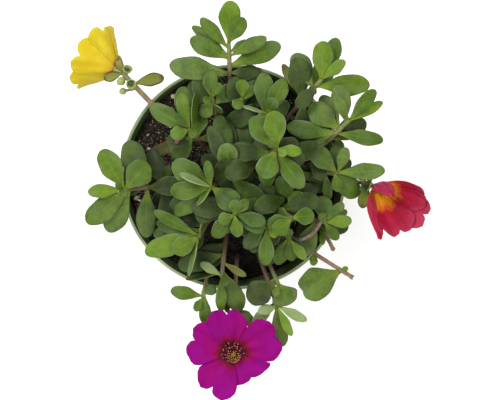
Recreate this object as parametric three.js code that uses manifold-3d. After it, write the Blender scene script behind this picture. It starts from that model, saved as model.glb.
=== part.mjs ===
// A purslane (portulaca) growing over the rim of a round nursery pot, with three open blooms.
// Millimetres, +Z up. The origin is the centre of the pot's underside.
import * as THREE from "three";
import { mergeVertices } from "three/addons/utils/BufferGeometryUtils.js";
import Module from "manifold-3d";

const wasm = await Module();
wasm.setup();

// ---- driving dimensions ----

const POT = {
  height: 92,
  rimRadius: 60,
  baseRadius: 42,
  wall: 1.4,
  collarHeight: 20,
  footHeight: 2,
  bossRadius: 10,
  sides: 32,
  drainHoles: 6,
  drainRadius: 3,
  drainCircle: 24,
};
const SOIL = {
  level: 82,
  floor: 3.8,
  slope: 0.085, // lower towards the front right
  bumps: 1,
  rings: 4,
  sides: 26,
};
const CLEARANCE = 0.35; // free space kept between neighbouring pieces
const STEM = {
  radius: 1.4,
  sides: 5,
  steps: 5,
  foot: 69, // height at which the buried end stops
  upright: 2.5, // straight part above the soil
  rise: 0.45, // share of the climb made before leaning over
  leafyRise: 2,
  flowerRise: 15,
  lean: 0.6,
  arch: 0.06,
  nod: 0.15,
};
const STALK = { radius: 0.8, sides: 5 };
const LEAF = {
  thickness: 1.6,
  taper: 0.35,
  belly: 0.62, // how far along the blade is widest
  neck: 0.12,
  middle: 0.45, // where along the chord the blade's bow is set
  rootDepth: 0.9,
};
const LEAF_STATIONS = [0.22, 0.45, 0.7, 0.91];
const SMALL_LEAF_STATIONS = [0.3, 0.62, 0.88];
const LOWER_LEAF_STATIONS = [0.34, 0.72];
const SMALL_LEAF_WIDTH = 10.6;
// Half blades of a leaf: where along it the clearance to its sister leaves is tested.
const SISTER_TEST = { from: 0.4, swell: 0.2 };
const PETAL = {
  thickness: 0.9,
  rows: 4,
  columns: 6,
  foot: 2.6,
  notch: 0.08,
  notchReach: 0.6,
  shoulder: 0.24, // how far the outer corners are rounded back
  shoulderFrom: 0.3,
  ripple: 0.5,
  claw: 0.16, // width at the foot, as a share of the full width
  fullWidthAt: 0.72,
  overlap: 1.3, // widest, as a share of an even fifth of the ring
};
const PETALS_IN_BLOOM = 5;
const PETAL_RING = { inside: 2.05, outside: 3.7, halfHeight: 0.9, sides: 8 };
const RECEPTACLE = { radius: 1.5, length: 4, sides: 8 };
const STAMEN_DISC = { radius: 1.5, bottom: 0.5, top: 1.7, sides: 8 };
// Stamens stand in rings: how many, how far they lean over, how long.
const STAMEN_RINGS = [
  { count: 1, share: 0, length: 7.2 },
  { count: 6, share: 1, length: 5.4 },
];
const STAMEN = { foot: 0.42, top: 0.3, anther: 0.95, antherLength: 1.3, sides: 4, turn: 25 };
const CAPSULE = { floor: 0.4, lip: 0.7, sides: 7 }; // lip: its height as a share of the radius
const BUD = { sides: 6, rings: 4 };

// What a leaf may do to stay clear of its neighbours, in order of preference.
const LIFTS = [0, 2, -2, 4, -4, 6, -6, 9, -9, 12, -12, 16];
const BOWS = [0.14, 0.26, 0.04];
const SWINGS = [0, 8, -8, 16, -16, 28, -28];
const SHRINKS = [1, 0.85, 0.7];

const GREEN = { color: 0x6d8f3c, roughness: 0.5, metalness: 0 };
const POT_GREEN = { color: 0x6f9a63, roughness: 0.55, metalness: 0 };
const PEAT = { color: 0x2b1f18, roughness: 0.95, metalness: 0 };
const YELLOW = { color: 0xe8c21a, roughness: 0.55, metalness: 0 };
const RED = { color: 0xb3122c, roughness: 0.55, metalness: 0 };
const MAGENTA = { color: 0xa80f8c, roughness: 0.55, metalness: 0 };
const POLLEN = { color: 0xe09a20, roughness: 0.7, metalness: 0 };
const SEED_BLACK = { color: 0x1c2420, roughness: 0.35, metalness: 0 };

// Leafy stems. root: where the stem leaves the soil. tip: its growing point.
// leaves: [distance below the tip, leaf tip x, y, z, width, roll in degrees].
// bow: how far a stem bends to the side on its way, x and y.
const LEAFY_STEMS = [
  {
    name: "leafy_stem_01",
    root: [-1, 35],
    tip: [-2, 69, 122],
    leaves: [
      [0.5, -1, 90, 127, 11.5],
      [0.5, 6, 81, 129, 8.5],
      [4, -16.5, 81.5, 122, 7],
      [9.5, -22, 71, 119, 10],
      [8, 17.5, 71.5, 121, 7.5],
      [13, 25, 68, 116, 11],
      [18, -33, 58, 110, 12.5],
      [24, 15, 56, 110, 7.5],
      [8, -21, 78, 116, 6],
      [6, 8, 70, 119, 5],
    ],
  },
  {
    name: "leafy_stem_02",
    root: [23, 25],
    tip: [46, 50, 124],
    leaves: [
      [1, 46.5, 69, 130, 11],
      [0.5, 57.5, 59, 130, 6.5],
      [3, 54, 71, 124, 10],
      [6, 71, 47.5, 118, 11.5],
      [8, 32, 64, 116, 11.5],
      [5, 33, 35, 125, 8],
      [10, 51, 60, 112, 12],
      [16, 26, 59, 106, 5.5],
      [13, 43, 46, 112, 5],
      [14, 33, 60, 108, 9],
    ],
  },
  {
    name: "leafy_stem_03",
    root: [36, 6],
    tip: [60, 29, 126],
    leaves: [
      [0.5, 52, 41, 132, 5.5],
      [0.5, 73, 44, 131, 7.5],
      [2, 77, 38, 127, 5.5],
      [3, 54, 47, 123, 10.5],
      [12, 78, 18.5, 116, 8],
      [9, 40, 37, 118, 12.5],
      [11, 35, 20, 115, 10.5],
      [14, 28, 26, 111, 9.5],
      [18, 32, 20, 104, 9],
      [8, 46, 42, 115, 9],
    ],
  },
  {
    name: "leafy_stem_04",
    root: [27, 2],
    tip: [55, 2, 114],
    leaves: [
      [0.5, 59, 15, 119, 6.5],
      [1, 40, 15, 118, 10.5],
      [1.5, 79, 3, 117, 9],
      [2.5, 55, -8, 113, 6],
      [4, 66, -10, 107, 11.5],
      [5, 40, 6, 110, 10.5],
      [8, 50, -12, 108, 5.5],
      [11, 41, -8, 104, 10.5],
      [10, 50, 20, 106, 8],
      [5, 56, 19, 112, 8],
    ],
  },
  {
    name: "leafy_stem_05",
    root: [-29, -4],
    tip: [-58, -7, 114],
    leaves: [
      [0, -60, -3, 119, 3.5],
      [0, -55, -10, 118, 3.5],
      [1, -75, -8, 118, 7.5],
      [2, -68, 14, 115, 12],
      [2.5, -44, 7, 118, 14],
      [5, -76.5, -24, 109, 12.5],
      [5, -65, -29, 110, 12.5],
      [12, -55, 19, 104, 13.5],
      [14, -46, -32, 102, 10.5],
      [24, -34, 6, 103, 6],
      [20, -38, -17, 99, 9],
    ],
  },
  {
    name: "leafy_stem_06",
    root: [-12, 13],
    tip: [-23, 25, 120],
    leaves: [
      [0.3, -30, 32, 124, 4.5],
      [0.5, -19, 20, 124, 4.5],
      [2, -27, 43, 119, 7],
      [2, -32, 21, 120, 7.5],
      [4, -43, 37, 112, 9.5],
      [5, -19, 44, 115, 9, 70],
      [8, -27, 47, 108, 11.5],
      [7, -31, 9, 105, 11],
      [11, -45, 12, 99, 7],
      [12, -17, 34, 104, 9],
    ],
  },
  {
    name: "leafy_stem_07",
    root: [-6, 22],
    tip: [-11, 41, 118],
    leaves: [
      [0.3, -15, 38, 122, 4.5],
      [0.3, -6, 48, 122, 5],
      [2, -12, 55, 117, 8],
      [3, -16, 31, 115, 7.5],
      [6, 1, 47, 112, 9],
      [5, -5, 33, 114, 7, 70],
      [8, -22, 50, 107, 11],
    ],
  },
  {
    name: "leafy_stem_08",
    root: [3, 22],
    tip: [5, 41, 118],
    leaves: [
      [0.5, 5, 50, 121, 7],
      [0.5, 1, 35, 121, 6.5],
      [3, 11, 47, 117, 5.5],
      [8, 12, 33, 110, 8],
      [10, 9, 57, 106, 9],
      [12, 4, 14, 108, 10],
    ],
  },
  {
    name: "leafy_stem_09",
    root: [10, 18],
    tip: [18, 33, 122],
    leaves: [
      [0.5, 22, 40, 126, 6.5],
      [0.5, 14, 28, 126, 6],
      [2, 5, 36, 121, 8, 70],
      [3, 27, 50, 119, 9.5],
      [5, 16, 54, 114, 10.5],
      [9, 29, 39, 106, 9],
    ],
  },
  {
    name: "leafy_stem_10",
    root: [12, 7],
    tip: [23, 14, 138],
    leaves: [
      [0, 18, 18, 142, 5],
      [0, 27, 10, 142, 4.5],
      [1, 35, 12, 138, 6],
      [2, 21, 33, 138, 11.5],
      [4, 10, 30, 135, 11.5],
      [3.5, 15, -1, 136, 11.5],
      [6, 36, -6, 132, 10],
      [12, 6, 12, 121, 8],
      [14, 17, -5, 118, 9],
    ],
  },
  {
    name: "leafy_stem_11",
    root: [-6, -3],
    tip: [-11, -6, 126],
    leaves: [
      [0.5, -13, 8, 129, 5],
      [1, -18, -15, 127, 7, 70],
      [1, -27, 1, 129, 8, 65],
      [3, -31, 7, 124, 12.5],
      [4, -32, -8, 122, 10],
      [3, 0, -20, 121, 11.5],
      [5, 4, -12, 117, 6.5],
      [7, -30, -20, 116, 8.5],
      [11, -33, -16, 109, 9],
      [14, -19, -18, 106, 9],
    ],
  },
  {
    name: "leafy_stem_12",
    root: [-1, 2],
    tip: [-2, 1, 122],
    leaves: [
      [1, -3, 17, 127, 11],
      [3, -12, 26, 121, 8],
      [3, 19, -19, 118, 11.5],
      [6, -7, 32, 114, 10.5],
      [9, 11, 0, 112, 9.5],
      [12, 1, 13, 107, 9],
    ],
  },
  {
    name: "leafy_stem_13",
    root: [1, -10],
    tip: [1, -20, 134],
    leaves: [
      [0.5, 2, -12, 138, 6.5],
      [1, -7, -23, 136, 6.5],
      [1.5, 8, -12, 134, 5.5],
      [1.5, 3, -31, 133, 6.5],
      [4, -10, -31, 129, 8.5],
      [4, 17, -24, 129, 7.5],
      [9, 16, -28, 120, 8.5],
    ],
  },
  {
    name: "leafy_stem_14",
    root: [-9, -16],
    tip: [-18, -32, 114],
    leaves: [
      [1, -13, -19, 118, 7, 65],
      [1, -23, -52, 112, 8, 70],
      [1, -31, -39, 115, 10],
      [2, -41, -18, 113, 6.5],
      [3, -40, -24, 109, 7.5],
      [4, -46, -40, 108, 11.5],
      [7, -42, -30, 102, 10],
      [9, -26, -18, 104, 9],
    ],
  },
  {
    name: "leafy_stem_15",
    root: [-3, -25],
    tip: [-6, -53, 105],
    leaves: [
      [0.5, -3, -57, 109, 5],
      [1, -17, -45, 108, 5],
      [8, 7, -52, 104, 5.5, 40],
      [4, 4, -71, 99, 11],
      [3, -25, -54, 104, 8, 65],
      [12, -29, -47, 99, 11.5],
      [18, -17, -44, 101, 10.5],
      [9, -11, -43, 98, 8],
      [0.8, -6.5, -71, 101, 6],
      [6, -3, -72, 97, 5.5],
    ],
  },
  {
    name: "leafy_stem_16",
    root: [-11, -38],
    tip: [-16, -64, 99],
    leaves: [
      [0.5, -20, -71, 98, 5],
      [1, -33, -60, 100, 7.5],
      [2, -9, -58, 101, 6],
      [3, -14.5, -79, 95, 6.5],
    ],
  },
  {
    name: "leafy_stem_17",
    root: [9, -15],
    tip: [18, -27, 122],
    leaves: [
      [0.3, 10, -24, 126, 4.5],
      [0.3, 23, -31, 125, 4.5],
      [1.5, 17, -46, 118, 8],
      [4, 6, -37, 114, 8],
      [4, 27, -22, 116, 7],
    ],
  },
  {
    name: "leafy_stem_18",
    root: [17, -22],
    tip: [30, -33, 112],
    leaves: [
      [0.5, 28, -27, 115, 5.5],
      [1, 38, -43, 112, 5.5],
      [2, 31, -44, 110, 6.5],
      [3, 23, -46, 108, 7.5],
      [6, 22, -35, 103, 8],
    ],
  },
  {
    name: "leafy_stem_19",
    root: [17, -11],
    tip: [31, -22, 124],
    leaves: [
      [1, 21, -29, 127, 8.5],
      [2, 42, -20, 124, 9],
      [2.5, 18, -26, 121, 9],
      [4, 22, -19, 118, 7.5],
    ],
  },
  {
    name: "leafy_stem_20",
    root: [20, -3],
    tip: [36, -17, 117],
    leaves: [
      [1, 31, -8, 119, 9],
      [1, 25, -15, 119, 5],
      [12, 18, -6, 114, 6.5],
      [4, 45, -12, 113, 8],
      [9, 24, 0, 108, 9],
    ],
  },
  {
    name: "leafy_stem_21",
    root: [30, -19],
    tip: [49, -24, 110],
    leaves: [
      [0.5, 45, -19, 113, 4.5],
      [1, 62, -23, 112, 7],
      [2, 55, -33, 108, 6],
      [3, 47, -10, 109, 10],
      [8, 36, -42, 103, 10.5],
      [2, 58, -14, 108, 6.5],
      [3, 60, -18, 106, 5.5],
    ],
  },
  {
    name: "leafy_stem_22",
    root: [26, -30],
    tip: [63, -53, 100],
    leaves: [
      [6, 35, -61, 101, 17.5],
      [4, 59, -47, 102, 3.5],
      [20, 42.5, -47, 100, 4.5],
    ],
  },
  {
    name: "leafy_stem_23",
    root: [12, -29],
    tip: [24, -57, 103],
    leaves: [
      [0.5, 22, -63, 106, 4.5],
      [1, 29.5, -67.5, 101, 14.5],
      [2, 7.5, -64.5, 101, 14],
    ],
  },
  {
    name: "leafy_stem_24",
    root: [13, -40],
    tip: [23.5, -69, 99],
    leaves: [
      [0.5, 13, -71, 103, 6],
      [1, 31, -84, 100, 5],
      [1, 39, -76, 100, 5.5],
      [2, 26, -90, 97, 9],
      [3, 10, -79, 97, 6.5],
    ],
  },
  {
    name: "leafy_stem_25",
    root: [35, -34],
    tip: [53, -38.5, 98],
    bow: [0, 15],
    leaves: [
      [7, 47.5, -36, 96, 3.5],
      [10, 50, -29, 99, 4],
    ],
  },
];

// Lower leaves of the taller stems: pairs set by a seeded draw.
const LOWER_LEAVES = {
  seed: 77,
  tallStem: 108,
  pairs: [0.34, 0.56], // share of the stem's reach below its tip
  length: [15, 23],
  widthShare: 0.52,
  rise: [-3, 6],
};

// Flower stems. axis: the way the bloom faces, as azimuth and elevation in degrees.
// bell: the petals' angle off that axis at their foot and at their tip.
// each: every petal's turn off an even fifth, its share of the length and width, and, where
// it bends apart from the others, how many degrees its tip stands off their bell.
const FLOWER_STEMS = [
  {
    name: "flower_stem_yellow",
    root: [-30, 27],
    tip: [-60.7, 55.9, 112],
    bow: [-1, -1.6],
    axis: [150.6, -25.6],
    leaves: [
      [11, -36, 52, 109, 7],
      [1.5, -60, 61, 113, 4.5],
      [1.5, -67, 50.5, 108, 5],
    ],
    capsules: [
      { foot: 5, at: [-54.8, 54.8, 115], radius: 2.7, seeds: "seeds_yellow_a" },
      { foot: 8, at: [-52.8, 48.3, 117], radius: 2.7, seeds: "seeds_yellow_b" },
    ],
    buds: [
      { foot: 6, at: [-58, 49.5, 114], radius: 1.8 },
      { foot: 14, at: [-57.4, 44.6, 110.5], radius: 1.5 },
    ],
    bloom: {
      petals: "petals_yellow",
      stamens: "stamens_yellow",
      paint: YELLOW,
      length: 22.3,
      width: 23.8,
      bell: [46.2, 36.9],
      turn: 29.3,
      each: [
        [4.9, 0.99, 1.05],
        [-9.7, 1.1, 1.06],
        [-0.7, 1, 1.05],
        [1, 1.02, 0.99],
        [1.2, 0.99, 1.04],
      ],
      shingle: 0.9,
      stamenSpread: 16,
    },
  },
  {
    name: "flower_stem_red",
    root: [37, -5],
    tip: [74.5, -5.9, 111],
    axis: [-43.2, 49.1],
    leaves: [
      [5, 67.5, -16.5, 108, 6.5],
      [2, 70, -2, 112, 4.5],
      [1.2, 66, -7, 116, 4.5],
    ],
    capsules: [{ foot: 6, at: [67, 0, 114], radius: 2.6, seeds: "seeds_red" }],
    buds: [],
    bloom: {
      petals: "petals_red",
      stamens: "stamens_red",
      paint: RED,
      length: 31.7,
      width: 27.6,
      bell: [41.8, 14.1],
      turn: 121.9,
      each: [
        [-12, 0.56, 1.1, -55],
        [32, 1.03, 0.62, 2],
        [20, 0.88, 0.95],
        [2, 0.97, 0.84],
        [-30, 0.88, 0.8],
      ],
      shingle: 0.9,
      stamenSpread: 14,
    },
  },
  {
    name: "flower_stem_magenta",
    root: [2, -42],
    tip: [-0.1, -92.6, 101],
    axis: [280.2, 84],
    leaves: [
      [3, -8, -84, 96, 6],
      [3, 13, -88, 95, 6],
      [24, 10, -78, 97, 8],
    ],
    capsules: [],
    buds: [],
    bloom: {
      petals: "petals_magenta",
      stamens: "stamens_magenta",
      paint: MAGENTA,
      length: 22,
      width: 24.9,
      bell: [68.7, 96],
      turn: 92.8,
      each: [
        [6.1, 0.99, 0.87],
        [-4.4, 1, 0.99],
        [2.2, 1.03, 0.96],
        [-2.1, 0.7, 1.06],
        [2.3, 1.08, 0.97],
      ],
      shingle: 1.1,
      stamenSpread: 46,
    },
  },
];

// ---- small helpers ----

const UP = new THREE.Vector3(0, 0, 1);
const radians = THREE.MathUtils.degToRad;

function heading(azimuth, elevation) {
  const a = radians(azimuth);
  const e = radians(elevation);
  return new THREE.Vector3(Math.cos(a) * Math.cos(e), Math.sin(a) * Math.cos(e), Math.sin(e));
}

// A repeatable draw between two limits (Park and Miller's generator).
function seededDraw(seed) {
  let state = seed;
  return (low, high) => {
    state = (state * 16807) % 2147483647;
    return low + ((high - low) * state) / 2147483647;
  };
}

// ---- solids and booleans ----

function signedVolume(points, faces) {
  const corner = [new THREE.Vector3(), new THREE.Vector3(), new THREE.Vector3()];
  let six = 0;
  for (let f = 0; f < faces.length; f += 3) {
    corner.forEach((c, k) => c.fromArray(points, faces[f + k] * 3));
    six += corner[0].dot(corner[1].clone().cross(corner[2]));
  }
  return six / 6;
}

function solidFrom(geometry) {
  geometry.deleteAttribute("normal");
  geometry.deleteAttribute("uv");
  const merged = mergeVertices(geometry, 1e-4);
  const index = merged.getIndex().array;
  let faces = [];
  for (let f = 0; f < index.length; f += 3) {
    const [a, b, c] = [index[f], index[f + 1], index[f + 2]];
    if (a !== b && b !== c && c !== a) faces.push(a, b, c);
  }
  const points = merged.getAttribute("position").array;
  if (signedVolume(points, faces) < 0) faces = faces.reverse();
  const mesh = new wasm.Mesh({
    numProp: 3,
    vertProperties: Float32Array.from(points),
    triVerts: Uint32Array.from(faces),
  });
  mesh.merge();
  return new wasm.Manifold(mesh);
}

// Keeps the one main body: a hollow that fusing sealed is filled, a loose scrap is dropped.
function mainBody(solid) {
  const mesh = solid.getMesh();
  const step = mesh.numProp;
  const points = [];
  for (let v = 0; v < mesh.vertProperties.length; v += step) {
    points.push(...mesh.vertProperties.slice(v, v + 3));
  }
  const geometry = new THREE.BufferGeometry();
  geometry.setAttribute("position", new THREE.Float32BufferAttribute(points, 3));
  geometry.setIndex(Array.from(mesh.triVerts));
  const merged = mergeVertices(geometry, 1e-5);
  const position = merged.getAttribute("position");
  const index = merged.getIndex().array;
  const parent = Array.from({ length: position.count }, (_, i) => i);
  const find = (i) => {
    while (parent[i] !== i) {
      parent[i] = parent[parent[i]];
      i = parent[i];
    }
    return i;
  };
  for (let f = 0; f < index.length; f += 3) {
    parent[find(index[f])] = find(index[f + 1]);
    parent[find(index[f + 1])] = find(index[f + 2]);
  }
  const bodies = new Map();
  for (let f = 0; f < index.length; f += 3) {
    const key = find(index[f]);
    if (!bodies.has(key)) bodies.set(key, []);
    bodies.get(key).push(index[f], index[f + 1], index[f + 2]);
  }
  const volume = (faces) => signedVolume(position.array, faces);
  const largest = [...bodies.values()].sort((a, b) => volume(b) - volume(a))[0];
  merged.setIndex(largest);
  return merged;
}

function fuse(solids) {
  return solids.reduce((whole, next) => whole.add(next));
}

function namedMesh(name, solid, paint) {
  const mesh = new THREE.Mesh(mainBody(solid), new THREE.MeshStandardMaterial(paint));
  mesh.name = name;
  return mesh;
}

// A solid with its bounding box, kept so that far neighbours are skipped quickly.
function piece(solid, owner) {
  const { min, max } = solid.boundingBox();
  const box = new THREE.Box3(new THREE.Vector3(...min), new THREE.Vector3(...max));
  return { solid, box, owner };
}

function crosses(a, b) {
  if (!a.box.intersectsBox(b.box)) return false;
  const common = a.solid.intersect(b.solid);
  const volume = common.volume();
  common.delete();
  return volume > 1e-4;
}

// ---- pot and soil ----

function turned(profile, sides) {
  const points = profile.map(([r, z]) => new THREE.Vector2(r, z));
  return new THREE.LatheGeometry(points, sides).rotateX(Math.PI / 2);
}

// The inside of the pot's wall: a straight taper with a step out at the collar.
function innerWall(gap) {
  const inner = POT.rimRadius - POT.wall - gap;
  const collarFoot = POT.height - POT.collarHeight;
  const slope = (POT.rimRadius - POT.baseRadius) / POT.height;
  const radiusAt = (z) => POT.baseRadius + slope * z - POT.wall - gap;
  return [
    [radiusAt(POT.footHeight) - 2, POT.footHeight + POT.wall],
    [radiusAt(collarFoot) - 2.6, collarFoot - 1],
    [radiusAt(collarFoot), collarFoot + 2],
    [inner - 0.6, POT.height - 1],
  ];
}

function pot() {
  const { height, rimRadius, baseRadius, wall, collarHeight, footHeight, bossRadius } = POT;
  const collarFoot = height - collarHeight;
  const slope = (rimRadius - baseRadius) / height;
  const outside = [
    [0, 0],
    [bossRadius, 0],
    [bossRadius + 1, footHeight],
    [baseRadius - 5, footHeight],
    [baseRadius - 4, 0],
    [baseRadius - 0.8, 0],
    [baseRadius, 0.9],
    [baseRadius + slope * collarFoot - 2.4, collarFoot],
    [baseRadius + slope * collarFoot + 0.2, collarFoot + 0.6],
    [rimRadius - 1.2, height - 2.4],
    [rimRadius, height - 1.9],
    [rimRadius, height - 0.5],
    [rimRadius - 0.5, height],
    [rimRadius - wall - 0.1, height],
  ];
  const floor = [0, footHeight + wall];
  const profile = [...outside, ...innerWall(0).reverse(), floor];
  let body = solidFrom(turned(profile, POT.sides));
  for (let k = 0; k < POT.drainHoles; k += 1) {
    const drill = new THREE.CylinderGeometry(POT.drainRadius, POT.drainRadius, 12, 8);
    const at = heading((360 * k) / POT.drainHoles, 0).multiplyScalar(POT.drainCircle);
    drill.rotateX(Math.PI / 2).translate(at.x, at.y, footHeight);
    body = body.subtract(solidFrom(drill));
  }
  return body;
}

// The peat's surface: it falls away towards the front right, with low mounds and dips.
function soilHeight(x, y) {
  const fall = (SOIL.slope * (x - y)) / Math.SQRT2;
  const wide = Math.sin(0.17 * x + 1.3 * Math.sin(0.11 * y) + 0.6);
  const fine = Math.sin(0.41 * y - 0.23 * x + 1.9) * Math.cos(0.33 * x + 0.19 * y);
  return SOIL.level - fall + SOIL.bumps * (wide + 0.8 * fine);
}

function soil(roots) {
  const edge = innerWall(CLEARANCE);
  const [low, high] = [edge[2], edge[3]];
  const wallRadius = (z) => low[0] + ((z - low[1]) / (high[1] - low[1])) * (high[0] - low[0]);
  const rim = wallRadius(SOIL.level);
  const profile = [[0, SOIL.floor], [edge[0][0], SOIL.floor], edge[1], edge[2]];
  for (let ring = SOIL.rings; ring >= 0; ring -= 1) {
    profile.push([(rim * ring) / SOIL.rings, SOIL.level]);
  }
  const geometry = turned(profile, SOIL.sides);
  const position = geometry.getAttribute("position");
  for (let v = 0; v < position.count; v += 1) {
    const [x, y, z] = [position.getX(v), position.getY(v), position.getZ(v)];
    if (z < SOIL.level - 0.1) continue;
    const height = soilHeight(x, y);
    const share = Math.hypot(x, y) / rim;
    const out = share > 0.99 ? wallRadius(height) / rim : 1;
    position.setXYZ(v, x * out, y * out, height);
  }
  let body = solidFrom(geometry);
  const bore = STEM.radius + CLEARANCE + 0.5;
  for (const [x, y] of roots) {
    const bottom = STEM.foot - CLEARANCE;
    const hole = new THREE.CylinderGeometry(bore, bore, 30, 5);
    hole.rotateX(Math.PI / 2).translate(x, y, bottom + 15);
    body = body.subtract(solidFrom(hole));
  }
  return body;
}

// ---- stems ----

// The free part of a stem: straight up out of the soil, then leaning to its tip,
// or to the foot of its bloom's receptacle.
function stemCurve({ root, tip, axis, bow = [0, 0] }) {
  const [x, y] = root;
  const start = new THREE.Vector3(x, y, soilHeight(x, y) + STEM.upright);
  const end = new THREE.Vector3(...tip);
  if (axis) end.addScaledVector(heading(...axis), -RECEPTACLE.length);
  const reach = start.distanceTo(end);
  const climb = STEM.rise * (end.z - start.z) + (axis ? STEM.flowerRise : STEM.leafyRise);
  const rise = start.clone().addScaledVector(UP, climb);
  const lean = axis
    ? end.clone().addScaledVector(heading(...axis), -STEM.nod * reach)
    : rise.clone().lerp(end, STEM.lean).addScaledVector(UP, STEM.arch * reach);
  for (const point of [rise, lean]) point.add(new THREE.Vector3(...bow, 0));
  return new THREE.CubicBezierCurve3(start, rise, lean, end);
}

function footPoint(curve, distanceBelowTip) {
  const reach = curve.v0.distanceTo(curve.v3);
  return curve.getPoint(Math.max(0, 1 - distanceBelowTip / reach));
}

function ngon(radius, sides) {
  const corners = [];
  for (let k = 0; k < sides; k += 1) {
    const angle = (2 * Math.PI * k) / sides;
    corners.push(new THREE.Vector2(radius * Math.cos(angle), radius * Math.sin(angle)));
  }
  return new THREE.Shape(corners);
}

function rod(path, radius, sides, steps) {
  const shape = ngon(radius, sides);
  return new THREE.ExtrudeGeometry(shape, { steps, extrudePath: path });
}

function stemRod(curve, radius) {
  const buried = curve.v0.clone().setZ(STEM.foot);
  const path = new THREE.CurvePath();
  path.add(new THREE.LineCurve3(buried, curve.v0));
  path.add(curve);
  return rod(path, radius, STEM.sides, STEM.steps);
}

// A short straight stalk from a stem to a capsule or a bud.
function stalk(start, end) {
  return solidFrom(rod(new THREE.LineCurve3(start, end), STALK.radius, STALK.sides, 1));
}

function receptacle({ tip, axis }) {
  const { radius, length, sides } = RECEPTACLE;
  const bell = new THREE.CylinderGeometry(radius, 0.8 * radius, length + 1, sides);
  bell.rotateX(Math.PI / 2).translate(0, 0, -(length + 1) / 2);
  const place = placedAlong(new THREE.Vector3(...tip), heading(...axis));
  return solidFrom(bell.applyMatrix4(place));
}

// ---- leaves ----

// Half width along a spatulate leaf, as a share of its greatest half width.
function leafOutline(u) {
  if (u > LEAF.belly) {
    const t = (u - LEAF.belly) / (1 - LEAF.belly);
    return Math.sqrt(Math.max(0, 1 - t * t));
  }
  const t = u / LEAF.belly;
  return LEAF.neck + (1 - LEAF.neck) * t * t * (3 - 2 * t);
}

// Foot and tip of a leaf once it is lifted, swung and shortened to clear its neighbours.
function leafPose(leaf, { lift, bow, swing, shrink }) {
  const reach = leaf.tip.clone().sub(leaf.foot).multiplyScalar(shrink);
  reach.applyAxisAngle(UP, radians(swing));
  reach.z += lift;
  const tip = leaf.foot.clone().add(reach);
  const middle = leaf.foot.clone().lerp(tip, LEAF.middle);
  middle.addScaledVector(UP, bow * reach.length());
  const rib = new THREE.QuadraticBezierCurve3(leaf.foot, middle, tip);
  return { rib, reach, width: leaf.width * shrink, roll: leaf.roll, stations: leaf.stations };
}

// A blade's cross-section: flat above and keeled below, or a wider one round it when swollen.
function leafSection(half, thick, swell) {
  if (swell === 0) return [[half, thick], [-half, thick], [0, -thick]];
  const [wide, high] = [half + swell, thick + swell];
  return [[wide, high], [-wide, high], [-wide, thick - swell], [0, -high], [wide, thick - swell]];
}

// A fleshy blade: flat above, keeled below along its midrib, pinched to an edge all round.
// from cuts the foot away, swell grows it all round for a clearance test.
function leafBlade({ rib, reach, width, roll, stations: all }, from = 0, swell = 0) {
  const chord = reach.clone().normalize();
  const level = UP.clone().cross(chord).normalize();
  const side = level.applyAxisAngle(chord, radians(roll));
  const stations = all.filter((u) => u >= from);
  const root = from > 0 ? rib.getPoint(from) : rib.v0.clone().addScaledVector(chord, -LEAF.rootDepth);
  const points = [];
  for (const u of stations) {
    const centre = rib.getPoint(u);
    const normal = rib.getTangent(u).cross(side).normalize();
    const half = 0.5 * width * leafOutline(u);
    const thick = 0.5 * LEAF.thickness * (1 - LEAF.taper * u);
    for (const [across, up] of leafSection(half, thick, swell)) {
      points.push(centre.clone().addScaledVector(side, across).addScaledVector(normal, up));
    }
  }
  const tip = rib.getPoint(1).addScaledVector(rib.getTangent(1), 2 * swell);
  points.push(tip, root);
  const faces = [];
  const last = stations.length - 1;
  const corners = (points.length - 2) / stations.length;
  for (let k = 0; k < corners; k += 1) {
    const next = (k + 1) % corners;
    for (let s = 0; s < last; s += 1) {
      const [a, b] = [corners * s + k, corners * s + next];
      faces.push(a, b, b + corners, a, b + corners, a + corners);
    }
    faces.push(corners * last + k, corners * last + next, points.length - 2);
    faces.push(next, k, points.length - 1);
  }
  const geometry = new THREE.BufferGeometry().setFromPoints(points);
  geometry.setIndex(faces);
  return solidFrom(geometry);
}

function leavesOf(stem) {
  return stem.leaves.map(([drop, x, y, z, width, roll = 0]) => ({
    owner: stem.name,
    foot: footPoint(stem.curve, drop),
    tip: new THREE.Vector3(x, y, z),
    width,
    roll,
    stations: width < SMALL_LEAF_WIDTH ? SMALL_LEAF_STATIONS : LEAF_STATIONS,
  }));
}

function lowerLeaves(stems) {
  const draw = seededDraw(LOWER_LEAVES.seed);
  const leaves = [];
  for (const stem of stems) {
    if (stem.tip[2] < LOWER_LEAVES.tallStem) continue;
    for (const share of LOWER_LEAVES.pairs) {
      const foot = stem.curve.getPoint(1 - share);
      const azimuth = draw(0, 180);
      for (const turn of [0, 180]) {
        const length = draw(...LOWER_LEAVES.length);
        const tip = heading(azimuth + turn, 0).multiplyScalar(length).add(foot);
        tip.z += draw(...LOWER_LEAVES.rise);
        const width = length * LOWER_LEAVES.widthShare;
        const stations = LOWER_LEAF_STATIONS;
        leaves.push({ owner: stem.name, foot, tip, width, roll: 0, stations });
      }
    }
  }
  return leaves;
}

function* leafChoices() {
  for (const shrink of SHRINKS) {
    for (const swing of SWINGS) {
      for (const lift of LIFTS) {
        for (const bow of BOWS) yield { lift, bow, swing, shrink };
      }
    }
  }
}

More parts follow.
